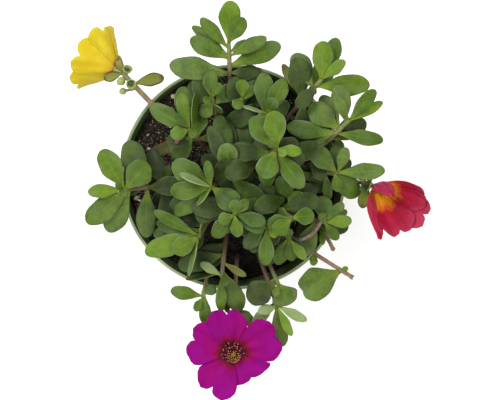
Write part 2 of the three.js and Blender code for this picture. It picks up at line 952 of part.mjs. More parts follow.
// Places each leaf, highest first, in the first pose that clears every other node
// and crosses its own stem and sister leaves only near its foot.
function settleLeaves(leaves, fixed) {
  const settled = [];
  const outers = [];
  const order = [...leaves].sort((a, b) => b.tip.z - a.tip.z);
  for (const leaf of order) {
    const others = [...fixed, ...settled].filter((p) => p.owner !== leaf.owner);
    const sisters = [...fixed, ...outers].filter((p) => p.owner === leaf.owner);
    for (const choice of leafChoices()) {
      const pose = leafPose(leaf, choice);
      const whole = piece(leafBlade(pose, 0, CLEARANCE), leaf.owner);
      const outer = piece(leafBlade(pose, SISTER_TEST.from, SISTER_TEST.swell), leaf.owner);
      const blocked = others.some((p) => crosses(whole, p));
      if (!blocked && !sisters.some((p) => crosses(outer, p))) {
        settled.push(piece(leafBlade(pose), leaf.owner));
        outers.push(piece(leafBlade(pose, SISTER_TEST.from), leaf.owner));
        break;
      }
    }
  }
  return settled;
}

// ---- blooms ----

function placedAlong(point, direction) {
  const turn = new THREE.Quaternion().setFromUnitVectors(UP, direction);
  return new THREE.Matrix4().compose(point, turn, new THREE.Vector3(1, 1, 1));
}

// One obcordate petal, its foot beside the flower's axis (+Z) at the given turn.
// It is a grid pinched to an edge all round, with like triangles on both faces.
function petal({ length, width, bell, shingle }, [turn, longer, wider, fold = 0]) {
  const { rows, columns, thickness, foot, notch, notchReach, shoulder } = PETAL;
  const reach = length * longer;
  const [inner, outer] = [bell[0], bell[1] + fold].map(radians);
  const around = new THREE.Matrix4().makeRotationZ(radians(turn));
  const centreline = [{ r: foot, z: 0, angle: inner }];
  const fine = 24;
  for (let k = 1; k <= fine; k += 1) {
    const angle = inner + ((outer - inner) * k) / fine;
    const before = centreline[k - 1];
    const r = before.r + (Math.sin(angle) * reach) / fine;
    const z = before.z + (Math.cos(angle) * reach) / fine;
    centreline.push({ r, z, angle });
  }
  const spot = (i, j) => {
    const v = (2 * j) / columns - 1;
    const dip = notch * Math.max(0, 1 - Math.abs(v) / notchReach);
    const outward = Math.max(0, Math.abs(v) - PETAL.shoulderFrom) / (1 - PETAL.shoulderFrom);
    const rounding = shoulder * outward ** 2;
    const u = (i / rows) * (1 - dip - rounding);
    const at = centreline[Math.round(u * fine)];
    const opening = Math.sin(0.5 * Math.PI * Math.min(1, u / PETAL.fullWidthAt)) ** 1.1;
    const across = width * wider * (PETAL.claw + (1 - PETAL.claw) * opening);
    const fifth = (2 * Math.PI * at.r) / PETALS_IN_BLOOM;
    const lateral = 0.5 * v * Math.min(across, PETAL.overlap * fifth);
    const curl = Math.max(at.r / Math.max(0.05, Math.cos(at.angle)), 0.4 * across);
    const bend = lateral / curl;
    const ripple = PETAL.ripple * Math.sin(3.2 * v + 5 * u) * u;
    const inward = curl * (1 - Math.cos(bend)) + shingle * v * Math.min(1, 4 * u) + ripple;
    const meridian = new THREE.Vector3(-Math.cos(at.angle), 0, Math.sin(at.angle));
    const point = new THREE.Vector3(at.r, curl * Math.sin(bend), at.z);
    point.addScaledVector(meridian, inward);
    const normal = meridian.clone().multiplyScalar(Math.cos(bend));
    normal.y = -Math.sin(bend);
    return { point, normal };
  };
  const points = [];
  const faces = [];
  const upper = [];
  const lower = [];
  for (let i = 0; i <= rows; i += 1) {
    for (let j = 0; j <= columns; j += 1) {
      const { point, normal } = spot(i, j);
      const rim = i === 0 || i === rows || j === 0 || j === columns;
      upper.push(points.length);
      points.push(point.clone().addScaledVector(normal, rim ? 0 : thickness / 2));
      if (!rim) points.push(point.clone().addScaledVector(normal, -thickness / 2));
      lower.push(points.length - 1);
    }
  }
  for (let i = 0; i < rows; i += 1) {
    for (let j = 0; j < columns; j += 1) {
      const a = i * (columns + 1) + j;
      const [b, c, d] = [a + 1, a + columns + 1, a + columns + 2];
      const leaning = j < columns / 2;
      const halves = leaning ? [[a, b, d], [a, d, c]] : [[a, b, c], [b, d, c]];
      for (const [p, q, r] of halves) {
        faces.push(upper[p], upper[q], upper[r], lower[r], lower[q], lower[p]);
      }
    }
  }
  const geometry = new THREE.BufferGeometry().setFromPoints(points);
  geometry.setIndex(faces).applyMatrix4(around);
  return geometry;
}

function petals(bloom, place) {
  const { inside, outside, halfHeight, sides } = PETAL_RING;
  const profile = [
    [inside, -halfHeight],
    [outside, -halfHeight],
    [outside, halfHeight],
    [inside, halfHeight],
    [inside, -halfHeight],
  ];
  const solids = [solidFrom(turned(profile, sides).applyMatrix4(place))];
  for (let k = 0; k < PETALS_IN_BLOOM; k += 1) {
    const [turn, ...shape] = bloom.each[k];
    const evenly = bloom.turn + (360 * k) / PETALS_IN_BLOOM;
    const one = petal(bloom, [evenly + turn, ...shape]);
    solids.push(solidFrom(one.applyMatrix4(place)));
  }
  return fuse(solids);
}

// Filaments with anthers, standing on a small disc round the pistil.
function stamens({ stamenSpread }, place) {
  const { radius, bottom, top, sides } = STAMEN_DISC;
  const disc = turned([[0, bottom], [radius, bottom], [radius, top], [0, top]], sides);
  const shapes = [disc];
  for (const { count, share, length } of STAMEN_RINGS) {
    const profile = [
      [0, 0],
      [STAMEN.foot, 0],
      [STAMEN.top, length],
      [STAMEN.anther, length + 0.3 * STAMEN.antherLength],
      [0, length + STAMEN.antherLength],
    ];
    for (let k = 0; k < count; k += 1) {
      const azimuth = (360 * k) / count + STAMEN.turn * share;
      const lean = heading(azimuth, 90 - stamenSpread * share);
      const foot = lean.clone().multiplyScalar(0.6);
      foot.z += (bottom + top) / 2 - 0.2;
      shapes.push(turned(profile, STAMEN.sides).applyMatrix4(placedAlong(foot, lean)));
    }
  }
  return fuse(shapes.map((shape) => solidFrom(shape.applyMatrix4(place))));
}

// A capsule points halfway between straight up and its stalk's own direction.
function capsulePlace({ foot, at }, curve) {
  const base = new THREE.Vector3(...at);
  const aim = base.clone().sub(footPoint(curve, foot)).normalize().add(UP).normalize();
  return placedAlong(base, aim);
}

// An open seed capsule: a little cup on a short stalk.
function capsule(one, curve) {
  const { radius } = one;
  const lip = radius * CAPSULE.lip;
  const profile = [
    [0, -0.8],
    [radius * 0.6, -0.4],
    [radius, lip],
    [radius - 0.7, lip],
    [radius * 0.5, CAPSULE.floor],
    [0, CAPSULE.floor],
  ];
  const cup = turned(profile, CAPSULE.sides).applyMatrix4(capsulePlace(one, curve));
  return fuse([solidFrom(cup), stalk(footPoint(curve, one.foot), new THREE.Vector3(...one.at))]);
}

// The heap of seeds in a capsule, clear of its floor.
function seeds(one, curve) {
  const { radius } = one;
  const grain = radius * 0.25;
  const middle = new THREE.ConeGeometry(radius * 0.36, radius * 0.5, 6);
  const heap = [middle.rotateX(Math.PI / 2).translate(0, 0, radius * 0.25)];
  for (let k = 0; k < 3; k += 1) {
    const out = heading(120 * k, 0).multiplyScalar(radius * 0.3);
    heap.push(new THREE.OctahedronGeometry(grain).translate(out.x, out.y, grain));
  }
  heap.push(new THREE.OctahedronGeometry(grain).translate(0, 0, radius * 0.5));
  const lift = new THREE.Matrix4().makeTranslation(0, 0, CAPSULE.floor + CLEARANCE);
  const place = capsulePlace(one, curve).multiply(lift);
  return fuse(heap.map((grains) => solidFrom(grains.applyMatrix4(place))));
}

function bud({ foot, at, radius }, curve) {
  const base = new THREE.Vector3(...at);
  const ball = new THREE.SphereGeometry(radius, BUD.sides, BUD.rings).translate(...at);
  return fuse([solidFrom(ball), stalk(footPoint(curve, foot), base)]);
}

// ---- the whole plant ----

const stems = [...LEAFY_STEMS, ...FLOWER_STEMS];
for (const stem of stems) {
  stem.curve = stemCurve(stem);
  stem.solids = [solidFrom(stemRod(stem.curve, STEM.radius))];
}

const extras = [];
for (const stem of FLOWER_STEMS) {
  const { bloom } = stem;
  const place = placedAlong(new THREE.Vector3(...stem.tip), heading(...stem.axis));
  stem.solids.push(receptacle(stem));
  extras.push({ name: bloom.petals, solid: petals(bloom, place), paint: bloom.paint });
  extras.push({ name: bloom.stamens, solid: stamens(bloom, place), paint: POLLEN });
  for (const one of stem.capsules) {
    stem.solids.push(capsule(one, stem.curve));
    extras.push({ name: one.seeds, solid: seeds(one, stem.curve), paint: SEED_BLACK });
  }
  for (const one of stem.buds) stem.solids.push(bud(one, stem.curve));
}

const potSolid = pot();
const soilSolid = soil(stems.map((stem) => stem.root));
const fixed = [piece(potSolid, "pot"), piece(soilSolid, "soil")];
for (const stem of stems) {
  for (const solid of stem.solids) fixed.push(piece(solid, stem.name));
}
for (const { name, solid } of extras) fixed.push(piece(solid, name));

const leaves = [...stems.flatMap(leavesOf), ...lowerLeaves(LEAFY_STEMS)];
for (const { solid, owner } of settleLeaves(leaves, fixed)) {
  stems.find((stem) => stem.name === owner).solids.push(solid);
}

const plant = new THREE.Group();
plant.add(namedMesh("pot", potSolid, POT_GREEN));
plant.add(namedMesh("soil", soilSolid, PEAT));
for (const stem of stems) plant.add(namedMesh(stem.name, fuse(stem.solids), GREEN));
for (const { name, solid, paint } of extras) plant.add(namedMesh(name, solid, paint));

export default plant;
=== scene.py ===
"""A purslane in flower in a round nursery pot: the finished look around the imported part."""

import math

import bpy
import numpy as np
from mathutils import Matrix, Vector, kdtree, noise


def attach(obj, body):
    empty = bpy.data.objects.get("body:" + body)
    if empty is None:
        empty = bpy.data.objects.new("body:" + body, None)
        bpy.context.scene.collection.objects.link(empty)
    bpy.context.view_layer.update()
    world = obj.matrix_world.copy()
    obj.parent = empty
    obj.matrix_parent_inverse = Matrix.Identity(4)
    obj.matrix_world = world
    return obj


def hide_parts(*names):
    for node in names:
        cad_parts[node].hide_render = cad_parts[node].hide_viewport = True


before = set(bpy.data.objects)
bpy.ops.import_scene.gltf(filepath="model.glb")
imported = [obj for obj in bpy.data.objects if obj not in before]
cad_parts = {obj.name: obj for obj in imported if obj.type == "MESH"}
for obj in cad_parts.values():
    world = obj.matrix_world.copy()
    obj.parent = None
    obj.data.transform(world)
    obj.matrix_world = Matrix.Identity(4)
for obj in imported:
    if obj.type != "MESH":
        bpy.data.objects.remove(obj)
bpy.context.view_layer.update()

# ---- sizes, in millimetres as in the part's own source ----

MM = 0.001
UP = Vector((0, 0, 1))
SOIL_LEVEL = 82
SOIL_SLOPE = 0.085
SOIL_RADIUS = 55.9
COLLAR_FOOT = (54.34, 74)  # the peat against the collar: its radius, and at what height
COLLAR_LEAN = (58 - 54.69) / (91 - 74)
STEM_RADIUS = 1.4
STEM_FOOT = 69
STEM_STEPS = 40
RECEPTACLE_LENGTH = 4
BARE_TIP = 1.5  # leaves this near the tip leave no knuckle on the stem
GOLDEN_TURN = 137.5
LEAF_THICKNESS = 1.6
LEAF_TAPER = 0.35
LEAF_BELLY = 0.62
LEAF_NECK = 0.12
LEAF_STATIONS = (0.22, 0.45, 0.7, 0.91)
SMALL_LEAF_STATIONS = (0.3, 0.62, 0.88)
LOWER_LEAF_STATIONS = (0.34, 0.72)
SMALL_LEAF_WIDTH = 10.6
LIFTS = (0, 2, -2, 4, -4, 6, -6, 9, -9, 12, -12, 16)
BOWS = (0.14, 0.26, 0.04)
SWINGS = (0, 8, -8, 16, -16, 28, -28)
SHRINKS = (1, 0.85, 0.7)
FOUND_WITHIN = 0.06  # how near a leaf's tip has to be to the solid's own corner

# root: where the stem leaves the soil. tip: its growing point. fresh: 0 old and greyish
# to 1 young and yellow green. leaves: drop below the tip, leaf tip x, y, z, width, roll.
# bow: how far the stem's middle is pushed aside. torn: how far the splinters of its broken
# end stand out. spent_bud: drop, place, radius. bare_shoot: where a leafless shoot runs.
LEAFY_STEMS = {
    "leafy_stem_01": {
        "root": (-1, 35), "tip": (-2, 69, 122), "fresh": 0.55,
        "leaves": [
            (0.5, -1, 90, 127, 11.5), (0.5, 6, 81, 129, 8.5), (4, -16.5, 81.5, 122, 7),
            (9.5, -22, 71, 119, 10), (8, 17.5, 71.5, 121, 7.5), (13, 25, 68, 116, 11),
            (18, -33, 58, 110, 12.5), (24, 15, 56, 110, 7.5), (8, -21, 78, 116, 6),
            (6, 8, 70, 119, 5),
        ],
    },
    "leafy_stem_02": {
        "root": (23, 25), "tip": (46, 50, 124), "fresh": 0.75,
        "leaves": [
            (1, 46.5, 69, 130, 11), (0.5, 57.5, 59, 130, 6.5), (3, 54, 71, 124, 10),
            (6, 71, 47.5, 118, 11.5), (8, 32, 64, 116, 11.5), (5, 33, 35, 125, 8),
            (10, 51, 60, 112, 12), (16, 26, 59, 106, 5.5), (13, 43, 46, 112, 5),
            (14, 33, 60, 108, 9),
        ],
    },
    "leafy_stem_03": {
        "root": (36, 6), "tip": (60, 29, 126), "fresh": 0.45,
        "leaves": [
            (0.5, 52, 41, 132, 5.5), (0.5, 73, 44, 131, 7.5), (2, 77, 38, 127, 5.5),
            (3, 54, 47, 123, 10.5), (12, 78, 18.5, 116, 8), (9, 40, 37, 118, 12.5),
            (11, 35, 20, 115, 10.5), (14, 28, 26, 111, 9.5), (18, 32, 20, 104, 9),
            (8, 46, 42, 115, 9),
        ],
    },
    "leafy_stem_04": {
        "root": (27, 2), "tip": (55, 2, 114), "fresh": 0.35,
        "leaves": [
            (0.5, 59, 15, 119, 6.5), (1, 40, 15, 118, 10.5), (1.5, 79, 3, 117, 9),
            (2.5, 55, -8, 113, 6), (4, 66, -10, 107, 11.5), (5, 40, 6, 110, 10.5),
            (8, 50, -12, 108, 5.5), (11, 41, -8, 104, 10.5), (10, 50, 20, 106, 8),
            (5, 56, 19, 112, 8),
        ],
    },
    "leafy_stem_05": {
        "root": (-29, -4), "tip": (-58, -7, 114), "fresh": 0.6,
        "leaves": [
            (0, -60, -3, 119, 3.5), (0, -55, -10, 118, 3.5), (1, -75, -8, 118, 7.5),
            (2, -68, 14, 115, 12), (2.5, -44, 7, 118, 14), (5, -76.5, -24, 109, 12.5),
            (5, -65, -29, 110, 12.5), (12, -55, 19, 104, 13.5), (14, -46, -32, 102, 10.5),
            (24, -34, 6, 103, 6), (20, -38, -17, 99, 9),
        ],
    },
    "leafy_stem_06": {
        "root": (-12, 13), "tip": (-23, 25, 120), "fresh": 0.75,
        "spent_bud": (2, (-28.7, 18.2, 117.6), 1.1),
        "leaves": [
            (0.3, -30, 32, 124, 4.5), (0.5, -19, 20, 124, 4.5), (2, -27, 43, 119, 7),
            (2, -32, 21, 120, 7.5), (4, -43, 37, 112, 9.5), (5, -19, 44, 115, 9, 70),
            (8, -27, 47, 108, 11.5), (7, -31, 9, 105, 11), (11, -45, 12, 99, 7),
            (12, -17, 34, 104, 9),
        ],
    },
    "leafy_stem_07": {
        "root": (-6, 22), "tip": (-11, 41, 118), "fresh": 0.6,
        "leaves": [
            (0.3, -15, 38, 122, 4.5), (0.3, -6, 48, 122, 5), (2, -12, 55, 117, 8),
            (3, -16, 31, 115, 7.5), (6, 1, 47, 112, 9), (5, -5, 33, 114, 7, 70),
            (8, -22, 50, 107, 11),
        ],
    },
    "leafy_stem_08": {
        "root": (3, 22), "tip": (5, 41, 118), "fresh": 0.8,
        "leaves": [
            (0.5, 5, 50, 121, 7), (0.5, 1, 35, 121, 6.5), (3, 11, 47, 117, 5.5),
            (8, 12, 33, 110, 8), (10, 9, 57, 106, 9), (12, 4, 14, 108, 10),
        ],
    },
    "leafy_stem_09": {
        "root": (10, 18), "tip": (18, 33, 122), "fresh": 0.8,
        "leaves": [
            (0.5, 22, 40, 126, 6.5), (0.5, 14, 28, 126, 6), (2, 5, 36, 121, 8, 70),
            (3, 27, 50, 119, 9.5), (5, 16, 54, 114, 10.5), (9, 29, 39, 106, 9),
        ],
    },
    "leafy_stem_10": {
        "root": (12, 7), "tip": (23, 14, 138), "fresh": 0.95,
        "leaves": [
            (0, 18, 18, 142, 5), (0, 27, 10, 142, 4.5), (1, 35, 12, 138, 6), (2, 21, 33, 138, 11.5),
            (4, 10, 30, 135, 11.5), (3.5, 15, -1, 136, 11.5), (6, 36, -6, 132, 10),
            (12, 6, 12, 121, 8), (14, 17, -5, 118, 9),
        ],
    },
    "leafy_stem_11": {
        "root": (-6, -3), "tip": (-11, -6, 126), "fresh": 0.5,
        "leaves": [
            (0.5, -13, 8, 129, 5), (1, -18, -15, 127, 7, 70), (1, -27, 1, 129, 8, 65),
            (3, -31, 7, 124, 12.5), (4, -32, -8, 122, 10), (3, 0, -20, 121, 11.5),
            (5, 4, -12, 117, 6.5), (7, -30, -20, 116, 8.5), (11, -33, -16, 109, 9),
            (14, -19, -18, 106, 9),
        ],
    },
    "leafy_stem_12": {
        "root": (-1, 2), "tip": (-2, 1, 122), "fresh": 0.35,
        "leaves": [
            (1, -3, 17, 127, 11), (3, -12, 26, 121, 8), (3, 19, -19, 118, 11.5),
            (6, -7, 32, 114, 10.5), (9, 11, 0, 112, 9.5), (12, 1, 13, 107, 9),
        ],
    },
    "leafy_stem_13": {
        "root": (1, -10), "tip": (1, -20, 134), "fresh": 0.7,
        "leaves": [
            (0.5, 2, -12, 138, 6.5), (1, -7, -23, 136, 6.5), (1.5, 8, -12, 134, 5.5),
            (1.5, 3, -31, 133, 6.5), (4, -10, -31, 129, 8.5), (4, 17, -24, 129, 7.5),
            (9, 16, -28, 120, 8.5),
        ],
    },
    "leafy_stem_14": {
        "root": (-9, -16), "tip": (-18, -32, 114), "fresh": 0.6,
        "leaves": [
            (1, -13, -19, 118, 7, 65), (1, -23, -52, 112, 8, 70), (1, -31, -39, 115, 10),
            (2, -41, -18, 113, 6.5), (3, -40, -24, 109, 7.5), (4, -46, -40, 108, 11.5),
            (7, -42, -30, 102, 10), (9, -26, -18, 104, 9),
        ],
    },
    "leafy_stem_15": {
        "root": (-3, -25), "tip": (-6, -53, 105), "fresh": 0.2,
        "leaves": [
            (0.5, -3, -57, 109, 5), (1, -17, -45, 108, 5), (8, 7, -52, 104, 5.5, 40),
            (4, 4, -71, 99, 11), (3, -25, -54, 104, 8, 65), (12, -29, -47, 99, 11.5),
            (18, -17, -44, 101, 10.5), (9, -11, -43, 98, 8), (0.8, -6.5, -71, 101, 6),
            (6, -3, -72, 97, 5.5),
        ],
    },
    "leafy_stem_16": {
        "root": (-11, -38), "tip": (-16, -64, 99), "fresh": 0.6,
        "leaves": [
            (0.5, -20, -71, 98, 5), (1, -33, -60, 100, 7.5), (2, -9, -58, 101, 6),
            (3, -14.5, -79, 95, 6.5),
        ],
    },
    "leafy_stem_17": {
        "root": (9, -15), "tip": (18, -27, 122), "fresh": 0.95,
        "leaves": [
            (0.3, 10, -24, 126, 4.5), (0.3, 23, -31, 125, 4.5), (1.5, 17, -46, 118, 8),
            (4, 6, -37, 114, 8), (4, 27, -22, 116, 7),
        ],
    },
    "leafy_stem_18": {
        "root": (17, -22), "tip": (30, -33, 112), "fresh": 0.85,
        "leaves": [
            (0.5, 28, -27, 115, 5.5), (1, 38, -43, 112, 5.5), (2, 31, -44, 110, 6.5),
            (3, 23, -46, 108, 7.5), (6, 22, -35, 103, 8),
        ],
    },
    "leafy_stem_19": {
        "root": (17, -11), "tip": (31, -22, 124), "fresh": 0.7,
        "leaves": [
            (1, 21, -29, 127, 8.5), (2, 42, -20, 124, 9), (2.5, 18, -26, 121, 9),
            (4, 22, -19, 118, 7.5),
        ],
    },
    "leafy_stem_20": {
        "root": (20, -3), "tip": (36, -17, 117), "fresh": 0.6,
        "leaves": [
            (1, 31, -8, 119, 9), (1, 25, -15, 119, 5), (12, 18, -6, 114, 6.5), (4, 45, -12, 113, 8),
            (9, 24, 0, 108, 9),
        ],
    },
    "leafy_stem_21": {
        "root": (30, -19), "tip": (49, -24, 110), "fresh": 0.45,
        "bare_shoot": [
            (46.6, -22.8, 109.4), (45.4, -24.2, 110), (44.2, -26.4, 109.9), (42.6, -28.7, 109.6),
            (40.8, -30.4, 109.3), (38.6, -31.8, 109), (36, -32.8, 108.4), (33, -33.4, 107),
            (29.5, -33.2, 104),
        ],
        "leaves": [
            (0.5, 45, -19, 113, 4.5), (1, 62, -23, 112, 7), (2, 55, -33, 108, 6),
            (3, 47, -10, 109, 10), (8, 36, -42, 103, 10.5), (2, 58, -14, 108, 6.5),
            (3, 60, -18, 106, 5.5),
        ],
    },
    "leafy_stem_22": {
        "root": (26, -30), "tip": (63, -53, 100), "fresh": 0.5, "torn": 0.8,
        "leaves": [
            (6, 35, -61, 101, 17.5), (4, 59, -47, 102, 3.5), (20, 42.5, -47, 100, 4.5),
        ],
    },
    "leafy_stem_23": {
        "root": (12, -29), "tip": (24, -57, 103), "fresh": 0.35,
        "leaves": [
            (0.5, 22, -63, 106, 4.5), (1, 29.5, -67.5, 101, 14.5), (2, 7.5, -64.5, 101, 14),
        ],
    },
    "leafy_stem_24": {
        "root": (13, -40), "tip": (23.5, -69, 99), "fresh": 0.75,
        "leaves": [
            (0.5, 13, -71, 103, 6), (1, 31, -84, 100, 5), (1, 39, -76, 100, 5.5),
            (2, 26, -90, 97, 9), (3, 10, -79, 97, 6.5),
        ],
    },
    "leafy_stem_25": {
        "root": (35, -34), "tip": (53, -38.5, 98), "bow": (0, 15), "fresh": 0.9, "torn": 0.8,
        "leaves": [
            (7, 47.5, -36, 96, 3.5), (10, 50, -29, 99, 4),
        ],
    },
}

LOWER_SEED = 77
LOWER_TALL = 108
LOWER_PAIRS = (0.34, 0.56)
LOWER_DROP = 30
LOWER_LENGTH = (15, 23)
LOWER_WIDTH_SHARE = 0.52
LOWER_RISE = (-3, 6)

# axis: the way the bloom faces. stout: the stem's share of its solid's radius. capsules and
# buds: drop, place, radius, the capsule's seeds.
# bell: a petal's lean off the axis at its foot and lip. each: every petal's turn off an even
# fifth, and its share of the length and width. finer: what single petals do differently.
FLOWER_STEMS = {
    "flower_stem_yellow": {
        "root": (-30, 27), "tip": (-60.7, 55.9, 112), "bow": (-1, -1.6),
        "axis": (150.6, -25.6), "fresh": 0.35, "stout": 1.2,
        "leaves": [
            (11, -36, 52, 109, 7), (1.5, -60, 61, 113, 4.5), (1.5, -67, 50.5, 108, 5),
        ],
        "capsules": [
            (5, (-54.8, 54.8, 115), 2.7, "seeds_yellow_a"),
            (8, (-52.8, 48.3, 117), 2.7, "seeds_yellow_b"),
        ],
        "buds": [(6, (-58, 49.5, 114), 1.8), (14, (-57.4, 44.6, 110.5), 1.5)],
        "bloom": {
            "petals": "petals_yellow", "stamens": "stamens_yellow", "slot": "petal_yellow",
            "length": 22.3, "width": 23.8, "bell": (46.2, 36.9), "turn": 29.3,
            "each": [
                (4.9, 0.99, 1.05), (-9.7, 1.1, 1.06), (-0.7, 1, 1.05),
                (1, 1.02, 0.99), (1.2, 0.99, 1.04),
            ],
            "shingle": 0.4, "spread": 16, "notch": 0.17, "jagged": 0.006, "crimp": 0.45,
            "pleat": 0.3, "finer": {}, "disc": 12.4,
        },
    },
    "flower_stem_red": {
        "root": (37, -5), "tip": (74.5, -5.9, 111), "axis": (-43.2, 49.1), "fresh": 0.3,
        "leaves": [
            (5, 67.5, -16.5, 108, 6.5), (2, 70, -2, 112, 4.5), (1.2, 66, -7, 116, 4.5),
        ],
        "capsules": [(6, (67, 0, 114), 2.6, "seeds_red")],
        "buds": [],
        "bloom": {
            "petals": "petals_red", "stamens": "stamens_red", "slot": "petal_red",
            "length": 31.7, "width": 27.6, "bell": (41.8, 14.1), "turn": 121.9,
            "each": [
                (-12, 0.56, 1.1), (32, 1.03, 0.62), (20, 0.88, 0.95),
                (2, 0.97, 0.84), (-30, 0.88, 0.8),
            ],
            "shingle": 0.4, "spread": 14, "notch": 0.12, "jagged": 0.012, "crimp": 0.4,
            "pleat": 0.5, "finer": {
                0: {"fold": -55, "skew": -0.22, "notch": 0.2},
                1: {"fold": 2, "flat": 2.0, "point": 0.8, "notch": 0.0, "same": 1},
            },
            "disc": 12.4,
        },
    },
    "flower_stem_magenta": {
        "root": (2, -42), "tip": (-0.1, -92.6, 101), "axis": (280.2, 84), "fresh": 0.4,
        "leaves": [(3, -8, -84, 96, 6), (3, 13, -88, 95, 6), (24, 10, -78, 97, 8)],
        "capsules": [],
        "buds": [],
        "bloom": {
            "petals": "petals_magenta", "stamens": "stamens_magenta", "slot": "petal_magenta",
            "length": 22, "width": 24.9, "bell": (68.7, 96), "turn": 92.8,
            "each": [
                (6.1, 0.99, 0.87), (-4.4, 1, 0.99), (2.2, 1.03, 0.96),
                (-2.1, 0.7, 1.06), (2.3, 1.08, 0.97),
            ],
            "shingle": 0.5, "spread": 54, "notch": 0.15, "jagged": 0.012, "crimp": 0.6,
            "pleat": 0.5, "finer": {
                0: {"skew": 0.1, "notch": 0.16}, 2: {"skew": 0.06, "notch": 0.22},
                3: {"skew": 0.14, "notch": 0.1},
            },
            "disc": 26,
        },
    },
}


# ---- small helpers ----


def heading(azimuth, elevation):
    a, e = math.radians(azimuth), math.radians(elevation)
    return Vector((math.cos(a) * math.cos(e), math.sin(a) * math.cos(e), math.sin(e)))


class Draw:
    """A repeatable draw between two limits (Park and Miller's generator)."""

    def __init__(self, seed):
        self.state = seed

    def __call__(self, low, high):
        self.state = (self.state * 16807) % 2147483647
        return low + ((high - low) * self.state) / 2147483647


def placed_along(point, direction):
    turn = UP.rotation_difference(direction)
    return Matrix.Translation(point) @ turn.to_matrix().to_4x4()


def start_fresh():
    """Nothing selected, object mode: the state every new piece starts from."""
    if bpy.context.object and bpy.context.object.mode != "OBJECT":
        bpy.ops.object.mode_set(mode="OBJECT")
    bpy.ops.object.select_all(action="DESELECT")


def edit(obj):
    start_fresh()
    obj.select_set(True)
    bpy.context.view_layer.objects.active = obj
    bpy.ops.object.mode_set(mode="EDIT")
    bpy.ops.mesh.select_all(action="DESELECT")


def pick(obj, kind, test):
    """Selects the vertices of obj that pass the test, or the edges whose two ends do."""
    bpy.ops.object.mode_set(mode="OBJECT")
    mesh = obj.data
    for group in (mesh.vertices, mesh.edges, mesh.polygons):
        group.foreach_set("select", [False] * len(group))
    if kind == "vert":
        for vertex in mesh.vertices:
            vertex.select = test(vertex.co)
    else:
        for edge in mesh.edges:
            edge.select = test(*(mesh.vertices[i].co for i in edge.vertices))
    bpy.ops.object.mode_set(mode="EDIT")
    bpy.ops.mesh.select_mode(type=kind.upper())


def finish_edit(obj, name):
    bpy.ops.object.mode_set(mode="OBJECT")
    obj.name = obj.data.name = name
    start_fresh()
    return obj


def face_outwards():
    """In edit mode: all faces of the piece turned outwards."""
    bpy.ops.mesh.select_all(action="SELECT")
    bpy.ops.mesh.normals_make_consistent(inside=False)


def apply_modifier(piece, modifier):
    bpy.context.view_layer.objects.active = piece
    bpy.ops.object.modifier_apply(modifier=modifier.name)


def finish_with(pieces, finish):
    """Gives each piece this one finish."""
    for piece in pieces:
        piece.data.materials.clear()
        piece.data.materials.append(finish)


def points_of(mesh):
    flat = np.empty(len(mesh.vertices) * 3)
    mesh.vertices.foreach_get("co", flat)
    return flat.reshape(-1, 3)


def move_points(mesh, points):
    mesh.vertices.foreach_set("co", np.asarray(points, dtype=float).ravel())
    mesh.update()


def copy_of(pattern, points):
    """A copy of a pattern piece with its own mesh, moved to these points (mm)."""
    twin = pattern.copy()
    twin.data = pattern.data.copy()
    bpy.context.collection.objects.link(twin)
    move_points(twin.data, points * MM)
    return twin


def joined(parts, name):
    start_fresh()
    for part in parts:
        part.select_set(True)
    bpy.context.view_layer.objects.active = parts[0]
    if len(parts) > 1:
        bpy.ops.object.join()
    whole = bpy.context.object
    whole.name = whole.data.name = name
    bpy.ops.object.shade_smooth()
    start_fresh()
    return whole


def set_growth(mesh, fresh, blush, under, rim):
    """Stores what the leaf and stem finishes read: r fresh, g blush, b underside, a rim."""
    data = mesh.attributes.get("growth")
    if data is None:
        data = mesh.attributes.new("growth", "FLOAT_COLOR", "POINT")
    count = len(mesh.vertices)
    values = np.ones((count, 4))
    for column, value in enumerate((fresh, blush, under, rim)):
        values[:, column] = value
    data.data.foreach_set("color", values.ravel())


def map_uv(mesh, along, across):
    """Lays the piece's own map: one way along it, the other across."""
    layer = mesh.uv_layers.active or mesh.uv_layers.new(name="along_and_across")
    layer.name = "along_and_across"
    corner = np.empty(len(mesh.loops), dtype=int)
    mesh.loops.foreach_get("vertex_index", corner)
    layer.data.foreach_set("uv", np.stack([along[corner], across[corner]], 1).ravel())


# ---- finishes ----

CROWN_REACH = (0.044, 0.06)  # metres from the pot's axis: the crown's leaves, painted darker as shade, then the outer ones
CROWN_DEPTH = (0.098, 0.122)  # metres up: leaves are painted darker below the crown's top, as shade
LIP_INSIDE = (0.0581, 0.0585)
LIP_REACH = (0.0584, 0.0587)
LIP_LINE = 0.0592
LIP_HEIGHT = (0.09, 0.0912)


def colour(code):
    """A hex colour as the linear values that a shader socket takes."""
    parts = [int(code[i:i + 2], 16) / 255 for i in (1, 3, 5)]
    return tuple(c / 12.92 if c <= 0.04045 else ((c + 0.055) / 1.055) ** 2.4 for c in parts) + (1,)


